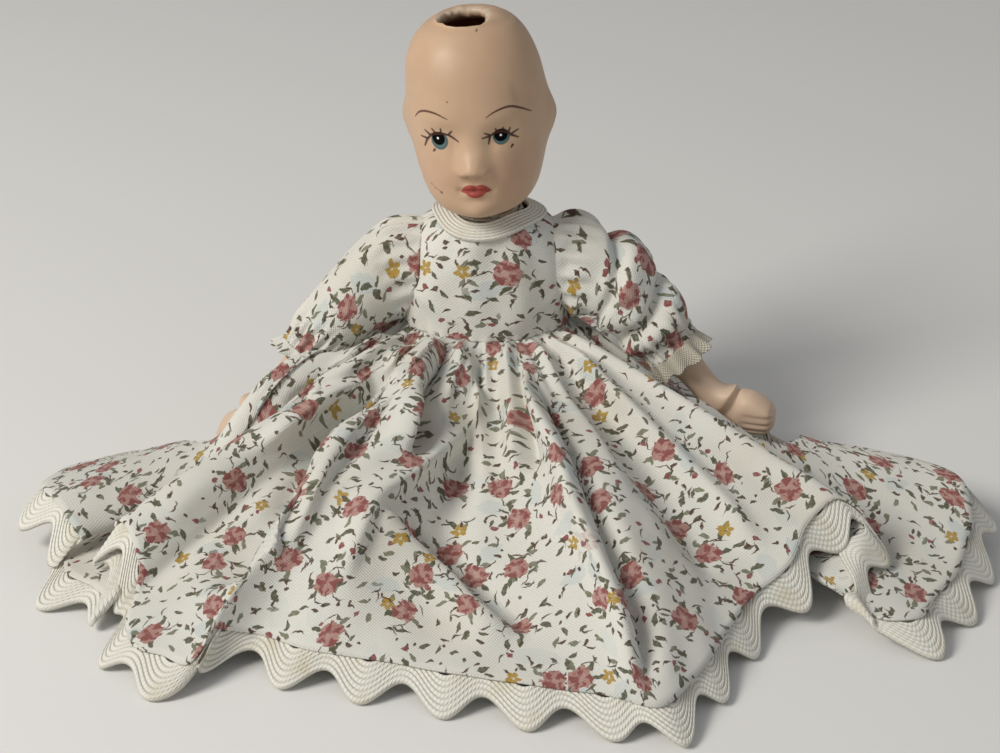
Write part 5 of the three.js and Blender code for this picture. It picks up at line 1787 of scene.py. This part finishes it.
@dataclass
class Braid:
    """Rick-rack: a flat braid of cords that swings from side to side."""

    name: str
    swing: float
    width: float
    cords: int
    hang: float
    steps: int = 26
    crest: float = 0.0
    pitch: float = 13.0
    thickness: float = 0.75
    cord_face: float = 0.15
    cord_rise: float = 0.2
    face_steps: int = 7
    back_steps: int = 2
    lowest: float = 0.3
    seam_row: int = -7
    seam_gap: float = 0.2
    soft: float = 0.45
    floor_room: float = 1.6
    sink: Spot = (0.02, 0.66)
    even_reach: int = 4
    front_crest: float = -19.4
    rest_height: float = 45.4
    clearance: float = 3.5
    lap_lift: float = 0.9
    lap_spread: float = 0.6

    def strip(self, edge: Array, waves: int, lay: Lay, cotton: Finish, node: str) -> Piece:
        """Makes the braid along a closed edge.

        Args:
            edge: Points of the edge that it is sewn to.
            waves: Number of waves all round.
            lay: Gives points for the distance past the edge and the depth behind the face.
            cotton: Finish of the braid.
            node: Node that it stands for.

        Returns:
            The braid.
        """
        count = len(edge)
        phase = (np.arange(count) / count - self.crest) * waves * TURN
        middle = self.hang + self.swing * np.cos(phase)
        face = np.linspace(0, 1, self.cords * self.face_steps + 1)
        back = np.linspace(1, 0, self.cords * self.back_steps + 1)
        ridge = self.cord_rise * np.abs(np.sin(math.pi * self.cords * face)) ** 0.7
        across = np.concatenate([face, back])
        depth = np.concatenate([self.cord_face - ridge, np.full(back.shape, self.thickness)])
        depth[0] = depth[-1] = mixed(self.cord_face, self.thickness, 0.5)
        past = middle[None, :] + (across[:, None] - 0.5) * self.width
        points = lay(past, depth[:, None])
        points[..., 2] = np.maximum(points[..., 2], self.lowest)
        grid = closed_ring(points)
        uv = joined(lengths_round(edge), (across * self.cords)[:, None])
        grid, uv = (np.concatenate([rows, rows[:1]]) for rows in (grid, uv))
        piece = lay_grid(self.name, grid, uv)
        face_outward(piece)
        dress(piece, cotton, (node,))
        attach(piece, "torso")
        return piece

    def along_hem(self, cloth: Array, cotton: Finish) -> Piece:
        """Makes the braid behind the hem of the skirt.

        Args:
            cloth: Grid of the skirt.
            cotton: Finish of the braid.

        Returns:
            The braid.
        """
        hem, above = cloth[-1], cloth[self.seam_row]
        out = ways_out(cloth)
        lengths = lengths_round(hem)
        waves = round(lengths[-1] / self.pitch)
        upward = unit(evened(unit(above - hem), self.even_reach))
        face = unit(evened(out[-2], self.even_reach))
        reach = self.hang + self.swing + self.width / 2
        sink = np.clip((hem[:, 2:] - self.floor_room) / reach, *self.sink)
        level = unit(upward * np.array([-1, -1, 0]))
        outward = unit(evened(level * np.sqrt(1 - sink**2) + rising(-1) * sink, self.even_reach + 1))
        facing = np.where(hem[1:, 1] < 0, np.abs(hem[1:, 0] - self.front_crest), np.inf)
        self.crest = lengths[1 + facing.argmin()] / lengths[-1]
        sewn = hem - face * (CLOTH + self.seam_gap)
        columns = [self.resampled(hem, part, waves * self.steps) for part in (sewn, upward, outward, face)]
        edge, upward, outward, face = (columns[0], *(unit(column) for column in columns[1:]))

        def lay(past: Array, depth: Array) -> Array:
            """Points that bend from the cloth's back down to the floor."""
            forward = self.soft * np.logaddexp(0, past / self.soft)
            backward = self.soft * np.logaddexp(0, -past / self.soft)
            below = forward[..., None] * outward + backward[..., None] * upward
            return edge + below - depth[..., None] * face

        return self.strip(edge, waves, lay, cotton, "hem_rickrack")

    def resampled(self, ring: Array, values: Array, count: int) -> Array:
        """Reads values along a closed ring at even steps of its length.

        Args:
            ring: Points of the ring.
            values: One row for each point.
            count: Number of steps.

        Returns:
            Values, one row for each step.
        """
        length = lengths_round(ring)
        where = np.linspace(0, length[-1], count, endpoint=False)
        looped = np.vstack([values, values[:1]])
        return np.stack([np.interp(where, length, channel) for channel in looped.T], axis=1)

    def round_neck(self, form: TorsoForm, top: Place, waves: int, cotton: Finish) -> Piece:
        """Makes the braid that lies round the neck as a collar.

        Args:
            form: Torso whose shoulders carry it.
            top: Half width, half depth and height of its upper edge.
            waves: Number of waves all round.
            cotton: Finish of the braid.

        Returns:
            The braid.
        """
        azimuth = turns(waves * self.steps * 2)
        width, depth, height = top
        edge = joined(width * np.sin(azimuth), -depth * np.cos(azimuth), height)
        lifted = self.clearance + self.lap_lift * bell(azimuth - math.pi, self.lap_spread)
        rest = form.around(azimuth, np.full(azimuth.shape, self.rest_height), lifted)
        down = unit(rest - edge)
        round_way = unit(np.roll(edge, -1, axis=0) - np.roll(edge, 1, axis=0))
        face = unit(np.cross(down, round_way))

        def lay(past: Array, depth: Array) -> Array:
            """Points on the way from the upper edge to the shoulders."""
            return edge + past[..., None] * down - depth[..., None] * face

        return self.strip(edge, waves, lay, cotton, "collar_rickrack")


@dataclass
class Bodice:
    """Fitted bodice: one front and two backs that lap over snap fasteners."""

    form: TorsoForm
    foot: float = 26.9
    top: float = 48.2
    armhole: tuple[float, float, float] = (38.4, 8.2, 5.7)
    overlap: float = 14 * DEG
    lap_room: float = 2.9
    lap_trim: float = 0.5
    closing: Spot = (44.2, 47.4)
    seam_gap: float = 0.006
    looseness: float = 0.45
    girth: float = 13.0
    columns: int = 90
    rows: int = 64

    def build(self, print_cloth: Finish) -> None:
        """Makes the three panels.

        Args:
            print_cloth: Finish of the cloth.
        """
        quarter = math.pi / 2
        panels = (
            ("bodice_front_cloth", "bodice_front", -quarter, quarter, False),
            ("bodice_back_left_cloth", "bodice_back_left", quarter, math.pi + self.overlap / 2, False),
            ("bodice_back_right_cloth", "bodice_back_right", -math.pi - self.overlap / 2, -quarter, True),
        )
        for name, node, start, stop, lapping in panels:
            piece = self.panel(name, start + self.seam_gap, stop - self.seam_gap, lapping)
            dress(piece, print_cloth, (node,))
            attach(piece, "torso")

    def panel(self, name: str, start: float, stop: float, lapping: bool) -> Piece:
        """Makes a panel between two azimuths.

        Args:
            name: Name of the piece.
            start: Azimuth of its first edge.
            stop: Azimuth of its last edge.
            lapping: Whether it lifts over the other back.

        Returns:
            The panel with its armholes cut.
        """
        azimuth = np.linspace(start, stop, self.columns)[None, :]
        lap = 0 * azimuth
        if lapping:
            lap = 1 - ease(azimuth, -math.pi + self.overlap, -math.pi + 3 * self.overlap)
        height = mixed(self.foot, self.top - self.lap_trim * lap, np.linspace(0, 1, self.rows)[:, None])
        room = mixed(self.lap_room, CLOTH + GAP, ease(height, *self.closing))
        around = self.girth * azimuth
        crease = 0.22 * ripple(joined(around, height) * np.array([1, 0.6]), 33, 13, 5)
        drag = 0.35 * bell((height - 33) - 0.55 * (np.abs(around) - 9), 1.6) * bell(np.abs(around) - 11, 5)
        pucker = 0.2 * bell(height - self.foot, 1.3) * np.cos(2.6 * around)
        offset = GAP + CLOTH + room * lap + self.looseness + crease + drag + pucker
        points = self.form.around(azimuth, height, offset)
        rise = np.interp(height, self.form.side[:, 2], self.form.rise)
        piece = lay_grid(name, points, joined(around, rise))
        self.cut_armholes(piece)
        thicken(piece, CLOTH)
        return piece

    def cut_armholes(self, piece: Piece) -> None:
        """Takes away the cloth inside the armholes.

        Args:
            piece: Panel of the bodice.
        """
        bpy.ops.object.mode_set(mode="EDIT")
        bpy.ops.mesh.select_all(action="DESELECT")
        bpy.ops.object.mode_set(mode="OBJECT")
        middle, tall, deep = self.armhole
        for face in piece.data.polygons:
            x, y, z = (part / MM for part in face.center)
            face.select = math.hypot(y / deep, (z - middle) / tall) < 1 and abs(x) > 8
        bpy.ops.object.mode_set(mode="EDIT")
        bpy.ops.mesh.delete(type="FACE")
        bpy.ops.object.mode_set(mode="OBJECT")


@dataclass
class Sleeve:
    """Puff sleeve, gathered into the armhole and by the elastic round the forearm."""

    form: TorsoForm
    pose: ArmPose
    puff: float
    bulge: float
    head_height: float = 37.6
    head_tall: float = 9.7
    head_deep: float = 6.9
    head_side: float = 15.4
    shoulder: float = 1.6
    around: int = 120
    rows: int = 84
    rim: float = 0.45
    girth: float = 7.6
    pattern_place: Spot = (40.0, 61.0)
    blend_side: float = 13.5
    blend_height: float = 40.4
    blend_reach: float = 9.0
    frill_around: int = 216
    frill_rows: int = 18
    frill_girth: float = 9.0
    frill_place: float = 20.0
    frill_thickness: float = 0.3
    frill_tuck: float = 0.15

    def head_ring(self, angle: Array) -> Array:
        """Works out the seam of the sleeve on the side of the bodice.

        Args:
            angle: Angles round the sleeve.

        Returns:
            Points of the seam.
        """
        y = -self.head_deep * np.sin(angle)
        z = self.head_height + self.head_tall * np.cos(angle)
        width, depth, _ = self.form.section(z, GAP + CLOTH + 0.55)
        x = width * np.sqrt(np.clip(1 - (y / depth) ** 2, 0.05, 1))
        return joined(self.pose.side.value * x, y, z)

    def ring(self, centre: Array, way: Array, tall: float, deep: float, angle: Array) -> Array:
        """Oval ring of the sleeve about a middle.

        Args:
            centre: Middle of the ring.
            way: Way of the sleeve through it.
            tall: Half size upwards.
            deep: Half size forwards.
            angle: Angles round the sleeve.

        Returns:
            Points of the ring.
        """
        across = unit(np.cross(np.array([0, -1.0, 0]), way)) * self.pose.side.value
        if across[2] < 0:
            across = -across
        fore = unit(np.cross(way, across))
        if fore[1] > 0:
            fore = -fore
        return centre + tall * np.cos(angle)[:, None] * across + deep * np.sin(angle)[:, None] * fore

    def rings(self, angle: Array) -> Array:
        """Works out the sections of the sleeve from the armhole to its end.

        Args:
            angle: Angles round the sleeve.

        Returns:
            One ring of points for each section.
        """
        along = self.pose.along()
        cuff = self.pose.seam() + along * CUFF
        seam = np.array([self.pose.side.value * self.head_side, 0, self.head_height])
        outward = np.array([self.pose.side.value, 0, 0.0])
        knots = np.array([seam, seam + outward * self.bulge, cuff - along * self.bulge, cuff])
        full, narrow = self.puff, mixed(CUFF_RADIUS, self.puff, 0.5)
        plans = (
            (0.14, full + self.shoulder, full - 0.3),
            (0.32, full + 0.6 * self.shoulder, full),
            (0.52, full + 0.2, full),
            (0.7, full - 0.4, full - 0.3),
            (0.86, narrow, narrow),
            (1.0, CUFF_RADIUS, CUFF_RADIUS),
        )
        rings = [self.head_ring(angle)]
        for share, tall, deep in plans:
            rest = 1 - share
            weights = np.array([rest**3, 3 * share * rest**2, 3 * share**2 * rest, share**3])
            rings.append(self.ring(weights @ knots, unit(mixed(outward, along, share)), tall, deep, angle))
        end, wide = cuff + along * (SLEEVE_END - CUFF), CUFF_RADIUS + self.rim
        rings.append(self.ring(end, along, wide, wide, angle))
        return np.array(rings)

    def build(self, print_cloth: Finish, folds: Lay) -> Piece:
        """Makes the sleeve.

        Args:
            print_cloth: Finish of the cloth.
            folds: Height of the creases for an angle and a share of the length.

        Returns:
            The sleeve.
        """
        side = self.pose.side
        angle = turns(self.around)
        rings = self.rings(angle)
        points = through(rings.reshape(len(rings), -1), self.rows, measured=rings[0].size)
        points = points.reshape(self.rows, -1, 3)
        share = np.linspace(0, 1, self.rows)[:, None]
        out = ways_out(points)
        middle = points.mean(axis=1, keepdims=True)
        out = out * np.sign((out * (points - middle)).sum(-1).mean())
        points = points + out * folds(*np.broadcast_arrays(angle, share))[..., None]
        length = summed(np.linalg.norm(np.diff(middle[:, 0], axis=0), axis=1))[:, None]
        turn = np.linspace(0, TURN, self.around + 1)
        aside, down = self.pattern_place
        uv = joined(self.girth * turn + aside * side.value, length + down)
        piece = lay_grid(f"sleeve_{side.word}_cloth", closed_ring(points), uv)
        face_outward(piece)
        thicken(piece, CLOTH)
        dress(piece, print_cloth, (f"sleeve_{side.word}",))
        end = tuple((self.pose.seam() + self.pose.along() * self.blend_reach) * MM)
        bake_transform(piece)
        return piece

    def frill(self, lace: Finish, waves: int, width: float, depth: float, seed: int) -> Piece:
        """Makes the gathered frill round the end of the sleeve.

        Args:
            lace: Finish of the frill.
            waves: Number of ruffles.
            width: Length from the sleeve's end to the free edge.
            depth: Depth of the ruffles at the free edge.
            seed: Seed of their unevenness.

        Returns:
            The frill.
        """
        side = self.pose.side
        angle = turns(self.frill_around)
        share = np.linspace(0, 1, self.frill_rows)[:, None]
        uneven = ripple(3 * joined(np.cos(angle), np.sin(angle)), seed, 6, 2)
        wave = np.cos(waves * angle + 0.8 * uneven)
        radius = CUFF_RADIUS + self.rim + share * 0.9 + depth * share**0.8 * wave * (1 + 0.3 * uneven)
        along = SLEEVE_END - self.frill_tuck + width * share * (1 + 0.12 * uneven)
        along = along + 0.25 * share * np.sin(waves * angle)
        points = joined(radius * np.cos(angle), radius * np.sin(angle), along)
        turn = np.linspace(0, TURN, self.frill_around + 1)
        uv = joined(self.frill_girth * turn, share * width + self.frill_place)
        grid = closed_ring(self.pose.limb().placed(points))
        piece = lay_grid(f"sleeve_frill_{side.word}_cloth", grid, uv)
        face_outward(piece)
        thicken(piece, self.frill_thickness)
        dress(piece, lace, (f"sleeve_frill_{side.word}",))
        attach(piece, f"arm_{side.word}")
        return piece


def smooth_folds(angle: Array, share: Array) -> Array:
    """Creases of the sleeve that hangs smoothly.

    Args:
        angle: Angles round the sleeve.
        share: Share of its length.

    Returns:
        Height of the creases.
    """
    head = 0.45 * np.cos(17 * angle + 0.7 * np.sin(2 * angle)) * bell(share - 0.1, 0.12)
    cuff = 0.5 * np.cos(19 * angle + 0.9 * np.sin(3 * angle)) * bell(share - 0.9, 0.13)
    drape = 0.3 * ripple(joined(8 * np.cos(angle), 8 * np.sin(angle), 30 * share), 41, 16, 7)
    gathers = (head + cuff) * (1 - ease(share, 0.97, 1.0)) * ease(share, 0, 0.05)
    return gathers + drape * ease(share, 0.02, 0.2)


def crumpled_folds(angle: Array, share: Array) -> Array:
    """Creases of the sleeve that is pushed up into two bulges.

    Args:
        angle: Angles round the sleeve.
        share: Share of its length.

    Returns:
        Height of the creases.
    """
    place = joined(8 * np.cos(angle), 8 * np.sin(angle), 26 * share)
    over = 0.35 + 0.65 * np.clip(np.cos(angle - 0.5), 0, 1)
    upper = bell(share - 0.32 - 0.07 * np.sin(angle), 0.045)
    lower = bell(share - 0.64 - 0.08 * np.sin(angle), 0.05)
    waist = -2.6 * over * (upper + lower)
    ring = 0.9 * bell(share - 0.47 - 0.05 * np.sin(2 * angle), 0.08) + 0.9 * bell(share - 0.8, 0.09)
    crush = 0.6 * ripple(place * np.array([1, 1, 1.5]), 43, 12, 4.5)
    ends = bell(share - 0.1, 0.1) + bell(share - 0.92, 0.12)
    gathers = 0.5 * np.cos(18 * angle + np.sin(3 * angle)) * ends
    return (waist + ring + crush + gathers) * ease(share, 0, 0.08) * (1 - 0.8 * ease(share, 0.95, 1.0))


def keep_small_parts(finishes: dict[str, Finish]) -> None:
    """Gives the ties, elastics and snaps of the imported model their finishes.

    Args:
        finishes: Finish for each word in the names of the nodes.
    """
    for name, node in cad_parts.items():
        for word, finish in finishes.items():
            if word in name:
                node.data.materials.clear()
                node.data.materials.append(finish)
                log.info("%s: finish only", name)


def main() -> None:
    """Builds the doll from the inside out, then the studio."""
    logging.basicConfig(level=logging.INFO, format="%(message)s")
    view = PhotoView()
    view.set_camera()
    form = TorsoForm()
    muslin = PlainCloth("muslin", (0.66, 0.60, 0.49, 1), (0.50, 0.44, 0.34, 1), thread=0.45).make()
    tints = ((0.70, 0.68, 0.60, 1), (0.45, 0.42, 0.34, 1))
    thread = PlainCloth("cotton_thread", *tints, thread=0.16, depth=0.05).make()
    tints = ((0.70, 0.665, 0.575, 1), (0.53, 0.485, 0.39, 1))
    lace = PlainCloth("lace_cotton", *tints, thread=0.34, depth=0.1, on_pattern=True).make()
    print_cloth = FloralPrint().make()
    cotton = BraidCotton().make()
    bisque = Bisque(flesh=(0.70, 0.53, 0.40, 1), flesh_low=(0.66, 0.49, 0.365, 1)).make()
    Body(form).build(muslin)
    Head().build(FacePaint(Bisque()).make())
    for pose, bend in zip(ARMS, (0.8, 0.25)):
        word = pose.side.word
        tube = StuffedLimb(f"stuffed_upper_arm_{word}", ball=3.4, radius=4.2, length=UPPER_ARM, bead=3.3)
        nodes = (f"upper_arm_cover_{word}", f"upper_arm_stuffing_{word}")
        tube.build(pose.limb(), muslin, f"arm_{word}", nodes)
        BisqueArm(bend=bend).build(pose, bisque)
    for side in Side:
        word = side.word
        tube = StuffedLimb(f"stuffed_upper_leg_{word}", ball=5.2, radius=5.6, length=UPPER_LEG, bead=3.9)
        nodes = (f"upper_leg_cover_{word}", f"upper_leg_stuffing_{word}")
        tube.build(leg_frame(side), muslin, f"leg_{word}", nodes)
        BisqueLeg().build(side, bisque)
    skirt, cloth = Skirt(form, view).build(print_cloth)
    hem = Braid("hem_braid", swing=2.5, width=7.6, cords=7, hang=1.3).along_hem(cloth, cotton)
    collar = Braid("collar_braid", swing=0.75, width=4.0, cords=6, hang=2.5, steps=50, crest=-0.045)
    collar.round_neck(form, (6.8, 6.7, 50.5), waves=3, cotton=cotton)
    Bodice(form).build(print_cloth)
    raised, hanging = ARMS
    plans = (
        (Sleeve(form, raised, puff=8.3, bulge=10.5, shoulder=1.6), crumpled_folds, lace, 4.0, 1.0),
        (Sleeve(form, hanging, puff=7.0, bulge=5.0, shoulder=3.2), smooth_folds, print_cloth, 2.4, 0.6),
    )
    for sleeve, folds, frill_cloth, width, depth in plans:
        cloth_piece = sleeve.build(print_cloth, folds)
        seed = 51 + sleeve.pose.side.value
        frill = sleeve.frill(frill_cloth, waves=11, width=width, depth=depth, seed=seed)
    keep_small_parts({"tie": thread, "elastic": thread, "snap": SnapMetal().make()})
    Studio().build()


if __name__ == "__main__":
    main()
